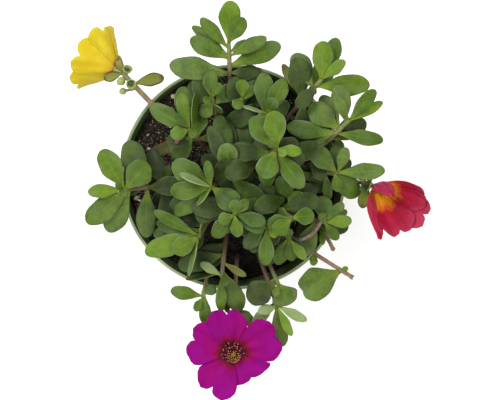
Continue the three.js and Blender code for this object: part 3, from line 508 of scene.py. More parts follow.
class Paint:
    """A node tree to paint with: each step adds a node and hands back its socket."""

    def __init__(self, tree):
        self.tree = tree

    def fill(self, node, inputs):
        """Fills inputs, each with a value, a hex colour or another node's socket."""
        for key, value in inputs.items():
            if isinstance(value, bpy.types.NodeSocket):
                self.tree.links.new(value, node.inputs[key])
            else:
                node.inputs[key].default_value = colour(value) if isinstance(value, str) else value

    def add(self, kind, inputs=None, **settings):
        node = self.tree.nodes.new("ShaderNode" + kind)
        for key, value in settings.items():
            setattr(node, key, value)
        self.fill(node, inputs or {})
        return node.outputs

    def maths(self, operation, *values):
        return self.add("Math", dict(enumerate(values)), operation=operation)[0]

    def times(self, first, *others):
        for other in others:
            first = self.maths("MULTIPLY", first, other)
        return first

    def plus(self, first, *others):
        for other in others:
            first = self.maths("ADD", first, other)
        return first

    def minus(self, first, second):
        return self.maths("SUBTRACT", first, second)

    def most(self, first, second):
        return self.maths("MAXIMUM", first, second)

    def mixed(self, share, first, second):
        """One colour turned into another by a share."""
        return self.add("Mix", {0: share, 6: first, 7: second}, data_type="RGBA")[2]

    def ranged(self, value, low, high, to_low=0.0, to_high=1.0):
        inputs = {0: value, 1: low, 2: high, 3: to_low, 4: to_high}
        return self.add("MapRange", inputs, interpolation_type="SMOOTHSTEP")[0]

    def where(self):
        return self.add("TexCoord")["Object"]

    def speckle(self, scale, detail=3.0, roughness=0.6, vector=None):
        """Noise fixed to the piece, at so many grains to the metre."""
        inputs = {"Vector": vector or self.where(), "Scale": scale, "Detail": detail}
        return self.add("TexNoise", {**inputs, "Roughness": roughness})[0]

    def bumped(self, height, strength, depth):
        inputs = {"Strength": strength, "Distance": depth * MM, "Height": height}
        return self.add("Bump", inputs)[0]

    def group(self, group, **inputs):
        node = self.tree.nodes.new("ShaderNodeGroup")
        node.node_tree = group
        self.fill(node, inputs)
        return node.outputs


def new_finish(name, shiny=0.5):
    """An empty material, the paint for its tree, and its Principled shader."""
    finish = bpy.data.materials.new(name)
    finish.use_nodes = True
    shader = finish.node_tree.nodes["Principled BSDF"]
    shader.inputs["Specular IOR Level"].default_value = shiny
    return finish, Paint(finish.node_tree), shader


def new_group(name, inputs, outputs):
    """A shared group of value sockets: its paint, its own inputs and its last node."""
    group = bpy.data.node_groups.new(name, "ShaderNodeTree")
    for label, value in inputs.items():
        kind = "NodeSocketFloat"
        group.interface.new_socket(label, in_out="INPUT", socket_type=kind).default_value = value
    for label in outputs:
        group.interface.new_socket(label, in_out="OUTPUT", socket_type="NodeSocketFloat")
    given = group.nodes.new("NodeGroupInput").outputs
    return group, Paint(group), given, group.nodes.new("NodeGroupOutput")


def make_living_skin():
    """Two sizes of soft blotches and a fine cell relief, for every part that grew."""
    group, paint, _, out = new_group("living_skin", {}, ("Blotch", "Cells"))
    wide, close = paint.speckle(130.0, 2.0), paint.speckle(620.0, 3.0)
    blotch = paint.plus(paint.times(wide, 0.65), paint.times(close, 0.35))
    cells = paint.add("TexVoronoi", {"Vector": paint.where(), "Scale": 2600.0})["Distance"]
    paint.fill(out, {"Blotch": paint.ranged(blotch, 0.34, 0.66), "Cells": cells})
    return group


def make_fine_veins():
    """Lines that fan out along a piece's own map, wandering a little."""
    group, paint, given, out = new_group(
        "fine_veins", {"Lines": 16.0, "Wander": 0.05}, ("Vein", "Along", "Across")
    )
    laid = paint.add("UVMap", uv_map="along_and_across")[0]
    along, across, _ = paint.add("SeparateXYZ", {0: laid})
    stretched = paint.add("VectorMath", {0: laid, 1: (3, 9, 1)}, operation="MULTIPLY")[0]
    wander = paint.speckle(1.0, 3.0, 0.6, stretched)
    drift = paint.times(paint.minus(wander, 0.5), given["Wander"])
    wave = paint.maths("SINE", paint.times(paint.plus(across, drift), given["Lines"]))
    vein = paint.ranged(wave, 0.2, 1.0)
    paint.fill(out, {"Vein": vein, "Along": along, "Across": across})
    return group


def make_place_in_pot():
    """Where a point is, in metres: out from the pot's axis, to the right, back and up."""
    group, paint, _, out = new_group("place_in_pot", {}, ("Reach", "Right", "Back", "Height"))
    where = paint.where()
    level = paint.add("VectorMath", {0: where, 1: (1, 1, 0)}, operation="MULTIPLY")[0]
    reach = paint.add("VectorMath", {0: level}, operation="LENGTH")["Value"]
    right, back, height = paint.add("SeparateXYZ", {0: where})
    paint.fill(out, {"Reach": reach, "Right": right, "Back": back, "Height": height})
    return group


living_skin = make_living_skin()
fine_veins = make_fine_veins()
place_in_pot = make_place_in_pot()

# what a leaf turns into as it gets fresher, and past 1.2 as it wilts and bleaches
LEAF_STAGES = [
    ((0.5, 0.75), "#344b08", "#475f0f"),
    ((0.85, 1.1), "#4d6811", "#617a1a"),
    ((1.2, 1.8), "#7c7a2c", "#6c5c2c"),
    ((1.8, 2.3), "#6a7b4a", "#7e8f5e"),
]


def make_leaf_finish():
    finish, paint, shader = new_finish("leaf_flesh", 0.16)
    growth = paint.add("Attribute", attribute_name="growth")
    fresh, blush, under = paint.add("SeparateColor", {0: growth["Color"]})
    skin = paint.group(living_skin)
    veins = paint.group(fine_veins, Lines=60.0, Wander=0.2)
    place = paint.group(place_in_pot)
    blotch, along = skin["Blotch"], veins["Along"]
    middle = paint.maths("ABSOLUTE", paint.minus(veins["Across"], 0.5))
    within = paint.ranged(place["Reach"], *CROWN_REACH, 1.0, 0.0)
    painted_crown_shade = paint.times(within, paint.ranged(place["Height"], *CROWN_DEPTH, 1.0, 0.0))
    old = paint.mixed(blotch, "#202a0a", "#2f3b13")
    # the crown's leaves take darker inner tones than the outer ones: painted shade
    outer = paint.mixed(blotch, "#3c501b", "#556828")
    inner = paint.mixed(blotch, "#2b3f0c", "#3d5517")
    flesh = paint.mixed(paint.ranged(fresh, 0.0, 0.5), old, paint.mixed(within, outer, inner))
    for stage, dark, light in LEAF_STAGES:
        flesh = paint.mixed(paint.ranged(fresh, *stage), flesh, paint.mixed(blotch, dark, light))
    # painted shade: leaves low inside the crown are darkened
    flesh = paint.mixed(paint.times(painted_crown_shade, 0.5), flesh, "#1a250c")
    # painted sheen: the blade is painted paler towards its rim, in clouds
    cloud = paint.speckle(75.0, 2.0)
    outwards = paint.ranged(paint.most(paint.times(middle, 2.0), along), 0.3, 1.0)
    painted_sheen = paint.times(
        outwards, paint.ranged(cloud, 0.4, 0.62), paint.ranged(fresh, 0.1, 0.6, 0.1, 0.25)
    )
    flesh = paint.mixed(painted_sheen, flesh, "#6c8050")
    # side veins run out and forwards from the midrib
    slant = paint.plus(paint.times(middle, -1.1), along)
    side_vein = paint.maths("SINE", paint.times(slant, 48.0))
    side_vein = paint.times(paint.ranged(side_vein, 0.7, 1.0), 0.05)
    flesh = paint.mixed(side_vein, flesh, "#82984c")
    # old leaves get a dark line down the middle crease, painted shade; young ones a pale midrib
    rib = paint.times(
        paint.ranged(middle, 0.0, 0.07, 0.15, 0.0), paint.ranged(along, 0.6, 0.95, 1.0, 0.0)
    )
    flesh = paint.mixed(
        rib, flesh, paint.mixed(paint.ranged(fresh, 0.25, 0.7), "#1c2810", "#7b9238")
    )
    neck = paint.times(
        paint.ranged(along, 0.02, 0.4, 0.5, 0.0), paint.ranged(fresh, 0.2, 0.7, 0.5, 1.0)
    )
    flesh = paint.mixed(neck, flesh, "#7c8a2a")
    flesh = paint.mixed(paint.times(under, 0.5), flesh, "#5c7040")
    # the thin rim is pale, or red where the leaf blushes
    edge = paint.mixed(paint.ranged(blush, 0.25, 0.6), "#9aa884", "#4a2a24")
    border = paint.most(paint.ranged(middle, 0.3, 0.44), paint.ranged(along, 0.8, 0.96))
    border = paint.times(border, paint.ranged(blush, 0.3, 0.7))
    share = paint.times(
        paint.ranged(growth["Alpha"], 0.2, 0.85), paint.ranged(cloud, 0.38, 0.6, 0.35, 0.72),
        paint.ranged(within, 0.0, 1.0, 0.45, 1.0), paint.ranged(fresh, 0.1, 0.8, 0.4, 1.0),
    )
    flesh = paint.mixed(paint.most(share, paint.times(border, 0.8)), flesh, edge)
    red_tint = paint.times(paint.ranged(blush, 0.3, 1.0), paint.plus(blotch, 0.2), 0.22)
    flesh = paint.mixed(red_tint, flesh, "#6d4a3a")
    relief = paint.plus(paint.times(skin["Cells"], 0.25), paint.times(side_vein, 4.0), blotch)
    paint.fill(shader, {
        "Base Color": flesh, "Roughness": paint.ranged(blotch, 0.0, 1.0, 0.38, 0.56),
        "Normal": paint.bumped(relief, 0.5, 0.14),
    })
    return finish


def make_stem_finish():
    finish, paint, shader = new_finish("stem_skin", 0.4)
    growth = paint.add("Attribute", attribute_name="growth")
    ripe = paint.add("SeparateColor", {0: growth["Color"]})[1]
    skin = paint.group(living_skin)
    veins = paint.group(fine_veins, Lines=44.0, Wander=0.1)
    blotch = skin["Blotch"]
    green = paint.mixed(blotch, "#52642a", "#647638")
    brown = paint.mixed(blotch, "#70553f", "#907456")
    share = paint.plus(ripe, paint.times(blotch, 0.2))
    bark = paint.mixed(paint.ranged(share, 0.1, 0.6), green, brown)
    bark = paint.mixed(paint.times(veins["Vein"], 0.14), bark, "#4e3a2c")
    reach = paint.group(place_in_pot)["Reach"]
    # stems inside the crown are painted darker: painted shade
    bark = paint.mixed(paint.ranged(reach, 0.052, 0.058, 0.6, 0.0), bark, "#3c3024")
    relief = paint.plus(skin["Cells"], paint.times(veins["Vein"], 0.7))
    paint.fill(shader, {
        "Base Color": bark, "Roughness": 0.52, "Normal": paint.bumped(relief, 0.5, 0.12),
    })
    return finish


def make_petal_finish(name, stops, vein, vein_share, tints):
    """A thin petal: colours from foot to lip, clouded in two tints, with fine veins down it."""
    finish, paint, shader = new_finish(name, 0.05)
    veins = paint.group(fine_veins, Lines=150.0, Wander=0.12)
    skin = paint.group(living_skin)
    blotch, along = skin["Blotch"], veins["Along"]
    shift = paint.times(paint.minus(blotch, 0.5), 0.07)
    ragged = paint.times(paint.minus(veins["Vein"], 0.5), 0.05)
    ramp = paint.add("ValToRGB", {0: paint.plus(along, shift, ragged)})
    bands = ramp[0].node.color_ramp
    bands.interpolation = "EASE"
    for mark, (spot, code) in zip(bands.elements[:], (stops[0], stops[-1])):
        mark.position, mark.color = spot, colour(code)
    for spot, code in stops[1:-1]:
        bands.elements.new(spot).color = colour(code)
    silk = paint.mixed(paint.times(veins["Vein"], vein_share), ramp[0], vein)
    silk = paint.mixed(paint.times(blotch, 0.3), silk, vein)
    patch = paint.speckle(85.0, 2.0)
    blade = paint.ranged(along, 0.25, 0.5)
    for tint, limit in zip(tints, (0.66, 0.34)):
        cloud = paint.times(paint.ranged(patch, 0.5, limit, 0.0, 0.4), blade)
        silk = paint.mixed(cloud, silk, tint)
    silk = paint.mixed(paint.ranged(along, 0.965, 1.0, 0.0, 0.5), silk, vein)
    relief = paint.plus(paint.times(veins["Vein"], 0.8), paint.times(skin["Cells"], 0.3))
    paint.fill(shader, {
        "Base Color": silk, "Roughness": 0.5, "Normal": paint.bumped(relief, 0.5, 0.12),
        "Subsurface Weight": 0.3, "Subsurface Radius": (1.0, 0.7, 0.7),
        "Subsurface Scale": 1.6 * MM,
    })
    return finish


def make_grain_finish(name, dark, light, rough, shiny, scale, depth):
    """A speckled surface between two colours, for grains, crumbs, anthers and bark."""
    finish, paint, shader = new_finish(name, shiny)
    coarse = paint.speckle(scale, 4.0, 0.65)
    fine = paint.speckle(scale * 4, 2.0)
    paint.fill(shader, {
        "Base Color": paint.mixed(paint.ranged(coarse, 0.35, 0.68), dark, light),
        "Roughness": paint.ranged(fine, 0.3, 0.7, rough - 0.08, rough + 0.08),
        "Normal": paint.bumped(fine, 0.6, depth),
    })
    return finish


def make_pot_finish():
    """Green moulded plastic, dusted with peat and darkened with painted shade on the inside, and
    scuffed at the collar.
    """
    finish, paint, shader = new_finish("pot_plastic", 0.5)
    place = paint.group(place_in_pot)
    reach, height = place["Reach"], place["Height"]
    cloud = paint.speckle(45.0, 4.0)
    fine = paint.speckle(1500.0, 3.0)
    plastic = paint.mixed(paint.ranged(cloud, 0.3, 0.7), "#51663c", "#5f744a")
    scuff = paint.times(paint.ranged(paint.speckle(260.0, 6.0, 0.7), 0.58, 0.72), 0.25)
    plastic = paint.mixed(scuff, plastic, "#a5c3a0")
    # the lip is painted pale, more so at the front: a painted highlight, with a dark line round its
    # top
    lip = paint.times(paint.ranged(reach, *LIP_REACH), paint.ranged(height, *LIP_HEIGHT))
    lip_highlight = paint.times(lip, paint.ranged(place["Back"], -0.03, 0.03, 0.88, 0.42))
    plastic = paint.mixed(lip_highlight, plastic, "#bcc09a")
    off_line = paint.maths("ABSOLUTE", paint.minus(reach, LIP_LINE))
    line = paint.times(paint.ranged(off_line, 0.0001, 0.0004, 1.0, 0.0), lip, 0.7)
    plastic = paint.mixed(line, plastic, "#546a3c")
    # the inside wall darkens towards the peat: partly peat dust, partly painted shade
    dust_and_shade = paint.times(
        paint.ranged(reach, *LIP_INSIDE, 1.0, 0.0), paint.ranged(height, 0.083, 0.0905, 1.0, 0.45),
        paint.ranged(cloud, 0.2, 0.5, 0.5, 1.0), 0.42,
    )
    plastic = paint.mixed(dust_and_shade, plastic, "#26251a")
    rings = paint.maths("SINE", paint.times(height, 2600.0))
    relief = paint.plus(paint.times(rings, 0.12), fine)
    paint.fill(shader, {
        "Base Color": plastic, "Roughness": paint.ranged(fine, 0.3, 0.7, 0.36, 0.5),
        "Normal": paint.bumped(relief, 0.25, 0.05),
    })
    return finish


def make_peat_finish():
    finish, paint, shader = new_finish("peat", 0.2)
    clod = paint.speckle(320.0, 5.0, 0.7)
    fibre = paint.speckle(1400.0, 3.0, 0.7)
    dark = paint.mixed(paint.ranged(clod, 0.35, 0.65), "#0f0d0b", "#2c2620")
    # the peat has paler fibres towards the back left: partly drier peat, partly painted light, as
    # the front right lies in shade
    place = paint.group(place_in_pot)
    dry_and_lit = paint.ranged(paint.minus(place["Back"], place["Right"]), 0.0, 0.03)
    flecks = paint.times(paint.ranged(fibre, 0.56, 0.68, 0.0, 0.7), dry_and_lit)
    relief = paint.plus(clod, paint.times(fibre, 0.4))
    paint.fill(shader, {
        "Base Color": paint.mixed(flecks, dark, "#7c6e54"), "Roughness": 0.95,
        "Normal": paint.bumped(relief, 1.0, 1.2),
    })
    return finish


leaf_flesh = make_leaf_finish()
stem_skin = make_stem_finish()
pot_plastic = make_pot_finish()
peat = make_peat_finish()
# each: dark and light, how rough and how shiny, grains to the metre and their relief in mm
GRAIN_LOOKS = {
    "peat_crumb": ("#15120f", "#4c4234", 0.95, 0.15, 500.0, 0.4),
    "pale_crumb": ("#6c5e44", "#b0a07c", 0.95, 0.15, 700.0, 0.3),
    "perlite": ("#8f8768", "#d2cbb0", 0.85, 0.3, 700.0, 0.3),
    "seed_coat": ("#182a12", "#3e5c34", 0.35, 0.5, 2500.0, 0.04),
    "capsule_green": ("#76833f", "#98a35c", 0.5, 0.4, 900.0, 0.08),
    "spent_bloom": ("#64203a", "#8c4c64", 0.6, 0.3, 900.0, 0.1),
    "old_bark": ("#564638", "#857260", 0.45, 0.4, 500.0, 0.12),
    "pollen": ("#7a5410", "#c09a34", 0.75, 0.15, 3000.0, 0.06),
    "spent_pollen": ("#8c5044", "#cc9c84", 0.75, 0.15, 3000.0, 0.06),
    "filament_yellow": ("#b8a02c", "#e0c848", 0.55, 0.3, 2000.0, 0.02),
    "filament_red": ("#a03c20", "#d07a34", 0.55, 0.3, 2000.0, 0.02),
    "filament_magenta": ("#2c080c", "#702028", 0.6, 0.1, 2000.0, 0.02),
}
grain = {name: make_grain_finish(name, *look) for name, look in GRAIN_LOOKS.items()}
# each face of the petals: colours from foot to lip, the veins' colour and share, two tints
PETAL_LOOKS = {
    "petals_yellow": {
        "yellow_petal_inside": (
            [(0.0, "#a07a10"), (0.3, "#ac9616"), (1.0, "#b2a61c")],
            "#a48c14", 0.14, ("#beb42c", "#b49414"),
        ),
        "yellow_petal_outside": (
            [
                (0.0, "#a87e2e"), (0.08, "#b6962a"), (0.25, "#bca424"), (0.7, "#b8a41e"),
                (1.0, "#b8ac24"),
            ],
            "#a28e18", 0.12, ("#c2b834", "#b89a14"),
        ),
    },
    "petals_red": {
        "red_petal_inside": (
            [
                (0.0, "#de9a18"), (0.29, "#da8c18"), (0.38, "#c2581e"), (0.46, "#9a182c"),
                (0.75, "#981c38"), (1.0, "#9a344c"),
            ],
            "#7c1026", 0.12, ("#983048", "#8c0c24"),
        ),
        "red_petal_outside": (
            [
                (0.0, "#a0503a"), (0.15, "#96304a"), (0.5, "#93284a"), (0.8, "#961e3a"),
                (1.0, "#942c44"),
            ],
            "#74182c", 0.24, ("#983450", "#8a1430"),
        ),
        # a lighter copy of the outside for the folded petal that faces away from the lamps: painted
        # light
        "red_petal_painted_lit": (
            [
                (0.0, "#c47a34"), (0.08, "#b8503c"), (0.2, "#b83a52"), (0.7, "#b42c4c"),
                (1.0, "#a81838"),
            ],
            "#8c1c34", 0.24, ("#a83c54", "#941428"),
        ),
    },
    "petals_magenta": {
        "magenta_petal_inside": (
            [
                (0.0, "#1c0c05"), (0.13, "#341205"), (0.19, "#5c120c"), (0.25, "#760a2a"),
                (0.33, "#7a0260"), (1.0, "#7c006a"),
            ],
            "#64004c", 0.22, ("#780878", "#840454"),
        ),
        "magenta_petal_outside": (
            [(0.0, "#6c2c4c"), (0.3, "#780862"), (1.0, "#7c0468")],
            "#680a52", 0.3, ("#780c84", "#840450"),
        ),
    },
}
PETAL_FACES = {
    petals: [make_petal_finish(name, *look) for name, look in faces.items()]
    for petals, faces in PETAL_LOOKS.items()
}


# ---- patterns: modelled once, then copied ----

LEAF_ROWS = (0.0, 0.1, 0.21, 0.33, 0.45, 0.55)
LEAF_TIP_ROWS = 6
LEAF_COLUMNS = (-1, -0.88, -0.64, -0.33, 0, 0.33, 0.64, 0.88, 1)
LEAF_RIM = 0.35  # how high the blade's rim runs, as a share of its half thickness


def leaf_outline(u):
    """Half width along a spatulate leaf, as a share of its greatest half width."""
    if u > LEAF_BELLY:
        t = (u - LEAF_BELLY) / (1 - LEAF_BELLY)
        return math.sqrt(max(0, 1 - t * t))
    t = u / LEAF_BELLY
    return LEAF_NECK + (1 - LEAF_NECK) * t * t * (3 - 2 * t)


def model_leaf():
    """A fleshy spoon-shaped blade one unit long: y is its width share, z its flesh."""
    rows = list(LEAF_ROWS)
    for k in range(LEAF_TIP_ROWS + 1):
        angle = 0.5 * math.pi * k / LEAF_TIP_ROWS
        rows.append(LEAF_BELLY + (1 - LEAF_BELLY) * math.sin(angle))
    start_fresh()
    bpy.ops.mesh.primitive_grid_add(
        x_subdivisions=len(rows) - 1, y_subdivisions=len(LEAF_COLUMNS) - 1, size=1
    )
    leaf = bpy.context.object
    edit(leaf)
    bpy.ops.mesh.select_all(action="SELECT")
    bpy.ops.mesh.extrude_region_move(TRANSFORM_OT_translate={"value": (0, 0, 1)})
    bpy.ops.mesh.select_all(action="SELECT")
    bpy.ops.transform.translate(value=(0, 0, -0.5))
    finish_edit(leaf, "leaf_pattern")
    flat = points_of(leaf.data)
    row = np.rint((flat[:, 0] + 0.5) * (len(rows) - 1)).astype(int)
    column = np.rint((flat[:, 1] + 0.5) * (len(LEAF_COLUMNS) - 1)).astype(int)
    along = np.array(rows)[row]
    across = np.array(LEAF_COLUMNS, dtype=float)[column]
    half = np.array([leaf_outline(u) for u in along])
    upper = flat[:, 2] > 0
    rim = (np.abs(across) > 0.99) | (row == 0) | (row == len(rows) - 1)
    crown = 0.72 + 0.28 * np.sin(math.pi * np.abs(across)) - 0.22 * np.exp(-((across / 0.16) ** 2))
    belly = -(1 - np.abs(across) ** 1.8)
    round_tip = np.sqrt(np.clip(1 - (np.clip(along - 0.8, 0, 1) / 0.2) ** 2, 0.0, 1))
    height = LEAF_RIM + (np.where(upper, crown, belly) - LEAF_RIM) * round_tip
    height = np.where(rim, LEAF_RIM, height)
    shaped = np.stack([along, across * half, height], 1)
    map_uv(leaf.data, along, (across + 1) / 2)
    set_growth(leaf.data, 0.5, 0, np.where(upper | rim, 0, 1), rim & (row > 2))
    move_points(leaf.data, shaped)
    edit(leaf)
    bpy.ops.mesh.select_mode(type="VERT")
    bpy.ops.mesh.select_all(action="SELECT")
    bpy.ops.mesh.remove_doubles(threshold=1e-4)
    face_outwards()
    return finish_edit(leaf, "leaf_pattern")


TUBE_SIDES = 10
TUBE_RINGS = 30


def model_tube():
    """A closed rod one unit long and one in radius, cut into rings along its length."""
    start_fresh()
    bpy.ops.mesh.primitive_cylinder_add(
        vertices=TUBE_SIDES, radius=1, depth=1, location=(0, 0, 0.5), end_fill_type="TRIFAN"
    )
    tube = bpy.context.object
    bpy.ops.object.transform_apply(location=True, rotation=False, scale=False)
    edit(tube)
    pick(tube, "edge", lambda a, b: abs(a.z - b.z) > 0.5)
    bpy.ops.mesh.subdivide(number_cuts=TUBE_RINGS - 1)
    finish_edit(tube, "tube_pattern")
    flat = points_of(tube.data)
    angle = (np.arctan2(flat[:, 1], flat[:, 0]) / (2 * math.pi)) % 1.0
    map_uv(tube.data, flat[:, 2], angle)
    return tube


leaf_pattern = model_leaf()
finish_with([leaf_pattern], leaf_flesh)
tube_pattern = model_tube()
finish_with([tube_pattern], stem_skin)
LEAF_FORM = points_of(leaf_pattern.data)
TUBE_FORM = points_of(tube_pattern.data)


# ---- stems ----


def soil_height(x, y):
    """The peat's surface: it falls away towards the front right, with low mounds and dips."""
    fall = SOIL_SLOPE * (x - y) / math.sqrt(2)
    wide = math.sin(0.17 * x + 1.3 * math.sin(0.11 * y) + 0.6)
    fine = math.sin(0.41 * y - 0.23 * x + 1.9) * math.cos(0.33 * x + 0.19 * y)
    return SOIL_LEVEL - fall + wide + 0.8 * fine


def stem_curve(stem):
    """The four points of the stem's free curve, out of the soil and over to its tip."""
    x, y = stem["root"]
    start = Vector((x, y, soil_height(x, y) + 2.5))
    end = Vector(stem["tip"])
    axis = stem.get("axis")
    if axis:
        end -= heading(*axis) * RECEPTACLE_LENGTH
    reach = (end - start).length
    rise = start + UP * (0.45 * (end.z - start.z) + (15 if axis else 2))
    if axis:
        lean = end - heading(*axis) * 0.15 * reach
    else:
        lean = rise.lerp(end, 0.6) + UP * 0.06 * reach
    aside = Vector((*stem.get("bow", (0, 0)), 0))
    return start, rise + aside, lean + aside, end


def on_curve(curve, t):
    a, b, c, d = curve
    s = 1 - t
    return a * s**3 + b * 3 * s * s * t + c * 3 * s * t * t + d * t**3


def foot_point(curve, drop):
    reach = (curve[0] - curve[3]).length
    return on_curve(curve, max(0, 1 - drop / reach))


KNUCKLE_SWELL = 0.16
KNUCKLE_LENGTH = 1.3
TORN_FLARE = 1.35


def bent_rod(path, radius, taper=1.0, knuckles=(), torn=0):
    """A copy of the rod pattern along a list of points, thicker at each knuckle.

    A torn end flares and splits into two horns, so many millimetres long.
    """
    path = np.array([tuple(p) for p in path])
    step = np.linalg.norm(np.diff(path, axis=0), axis=1)
    travelled = np.concatenate([[0], np.cumsum(step)])
    share = travelled / travelled[-1]
    along = TUBE_FORM[:, 2]
    levels = np.unique(np.round(along, 6))
    centre = np.stack([np.interp(levels, share, path[:, k]) for k in range(3)], 1)
    tangent = np.gradient(centre, axis=0)
    tangent /= np.linalg.norm(tangent, axis=1)[:, None]
    side = np.cross(tangent[0], (0.0, 1.0, 0.3))
    side /= np.linalg.norm(side)
    frames = []
    for t in tangent:
        side = side - t * side.dot(t)
        side /= np.linalg.norm(side)
        frames.append((side, np.cross(t, side)))
    ring = np.searchsorted(levels, np.round(along, 6) - 1e-7)
    first = np.array([f[0] for f in frames])[ring]
    second = np.array([f[1] for f in frames])[ring]
    wide = radius * (1 + (taper - 1) * along)
    for knuckle in knuckles:
        away = (along - knuckle) * travelled[-1] / KNUCKLE_LENGTH
        wide = wide * (1 + KNUCKLE_SWELL * np.exp(-(away**2)))
    end = along > 0.999
    if torn:
        wide = np.where(end, wide * TORN_FLARE, wide)
    x, y = TUBE_FORM[:, 0], TUBE_FORM[:, 1]
    points = centre[ring] + (first * x[:, None] + second * y[:, None]) * wide[:, None]
    if torn:
        horn = np.where(end, np.maximum(0, x**2 - y**2), 0)
        points = points + horn[:, None] * tangent[-1] * torn
    return copy_of(tube_pattern, points)


# ---- leaves ----


def leaf_pose(leaf, lift, swing, shrink):
    """Where the leaf's tip goes once it is shortened, swung and lifted."""
    reach = (leaf["tip"] - leaf["foot"]) * shrink
    reach.rotate(Matrix.Rotation(math.radians(swing), 3, "Z"))
    reach.z += lift
    return reach


def leaf_rib(leaf, reach, bow):
    tip = leaf["foot"] + reach
    middle = leaf["foot"].lerp(tip, 0.45) + UP * bow * reach.length
    return leaf["foot"], middle, tip


def leaf_side(leaf, reach):
    chord = reach.normalized()
    level = UP.cross(chord).normalized()
    level.rotate(Matrix.Rotation(math.radians(leaf["roll"]), 3, chord))
    return level


def rib_at(rib, u):
    foot, middle, tip = rib
    point = foot * (1 - u) ** 2 + middle * 2 * u * (1 - u) + tip * u * u
    tangent = ((middle - foot) * (1 - u) + (tip - middle) * u).normalized()
    return point, tangent


def settle(leaf, corners):
    """Finds the pose that the solid's leaf took, from where its corners are. None if none."""
    best, best_error = None, 2 * FOUND_WITHIN
    for shrink in SHRINKS:
        for swing in SWINGS:
            for lift in LIFTS:
                reach = leaf_pose(leaf, lift, swing, shrink)
                miss = corners.find(leaf["foot"] + reach)[2]
                if miss > FOUND_WITHIN:
                    continue
                side = leaf_side(leaf, reach)
                for bow in BOWS:
                    rib = leaf_rib(leaf, reach, bow)
                    u = leaf["stations"][-1]
                    point, tangent = rib_at(rib, u)
                    flesh = 0.5 * LEAF_THICKNESS * (1 - LEAF_TAPER * u)
                    keel = point - tangent.cross(side).normalized() * flesh
                    error = miss + corners.find(keel)[2]
                    if error < best_error:
                        best_error = error
                        best = {"rib": rib, "side": side, "width": leaf["width"] * shrink}
    return best


def grown_leaf(pose, fresh, blush, draw, cleft=0):
    """A copy of the leaf pattern bent along its rib, with a slight twist and wave of its own."""
    rib, side = pose["rib"], np.array(pose["side"])
    foot, middle, tip = (np.array(p) for p in rib)
    u, across, flesh = LEAF_FORM.T
    u = u - cleft * u**8 * np.exp(-((across / 0.35) ** 2))
    s = 1 - u
    centre = np.outer(s * s, foot) + np.outer(2 * u * s, middle) + np.outer(u * u, tip)
    tangent = np.outer(s, middle - foot) + np.outer(u, tip - middle)
    tangent /= np.linalg.norm(tangent, axis=1)[:, None]
    normal = np.cross(tangent, side)
    normal /= np.linalg.norm(normal, axis=1)[:, None]
    half = 0.5 * pose["width"]
    twist = math.radians(draw(-7, 7)) * u
    cup = draw(-0.04, 0.2) * half * across**2
    wave_height = draw(0.0, 0.045) * half * across
    wave = wave_height * np.sin(2 * math.pi * (u * draw(0.8, 1.6) + draw(0, 1)))
    thick = 0.5 * LEAF_THICKNESS * (1 - LEAF_TAPER * u)
    lift = thick * flesh + (cup + wave) * u
    turned_side = side * np.cos(twist)[:, None] + normal * np.sin(twist)[:, None]
    uneven = 1 + 0.07 * u * np.sin(14 * u + foot[0] + foot[1] + 1.5 * np.sign(across))
    points = centre + turned_side * (across * half * uneven)[:, None] + normal * lift[:, None]
    blade = copy_of(leaf_pattern, points)
    growth = np.empty(len(u) * 4)
    blade.data.attributes["growth"].data.foreach_get("color", growth)
    growth = growth.reshape(-1, 4)
    set_growth(blade.data, fresh, blush, growth[:, 2], growth[:, 3])
    return blade


def leaf_list(stem):
    leaves = []
    for drop, x, y, z, width, *roll in stem["leaves"]:
        small = width < SMALL_LEAF_WIDTH
        leaves.append({
            "drop": drop,
            "foot": foot_point(stem["curve"], drop),
            "tip": Vector((x, y, z)),
            "width": width,
            "roll": roll[0] if roll else 0,
            "stations": SMALL_LEAF_STATIONS if small else LEAF_STATIONS,
        })
    return leaves


def lower_leaves():
    """Pairs of leaves down the taller stems, from the same draw as the solids'."""
    draw = Draw(LOWER_SEED)
    found = {}
    for name, stem in LEAFY_STEMS.items():
        found[name] = []
        if stem["tip"][2] < LOWER_TALL:
            continue
        for share in LOWER_PAIRS:
            foot = on_curve(stem["curve"], 1 - share)
            azimuth = draw(0, 180)
            for turn in (0, 180):
                length = draw(*LOWER_LENGTH)
                tip = heading(azimuth + turn, 0) * length + foot
                tip.z += draw(*LOWER_RISE)
                found[name].append({
                    "drop": LOWER_DROP, "foot": foot, "tip": tip, "roll": 0,
                    "width": length * LOWER_WIDTH_SHARE, "stations": LOWER_LEAF_STATIONS,
                })
    return found


# ---- blooms ----

PETAL_ROWS = 22
PETAL_COLUMNS = 26
PETAL_FOOT = 2.6
PETAL_FLESH = 0.16
PETAL_STEPS = 120
PETAL_COUNT = 5


def model_petal():
    """A flat sheet of petal: x runs from its foot to its lip, y across."""
    start_fresh()
    bpy.ops.mesh.primitive_grid_add(
        x_subdivisions=PETAL_ROWS, y_subdivisions=PETAL_COLUMNS, size=2
    )
    sheet = bpy.context.object
    flat = points_of(sheet.data)
    map_uv(sheet.data, (flat[:, 0] + 1) / 2, (flat[:, 1] + 1) / 2)
    return finish_edit(sheet, "petal_pattern")


petal_pattern = model_petal()
PETAL_FORM = points_of(petal_pattern.data)


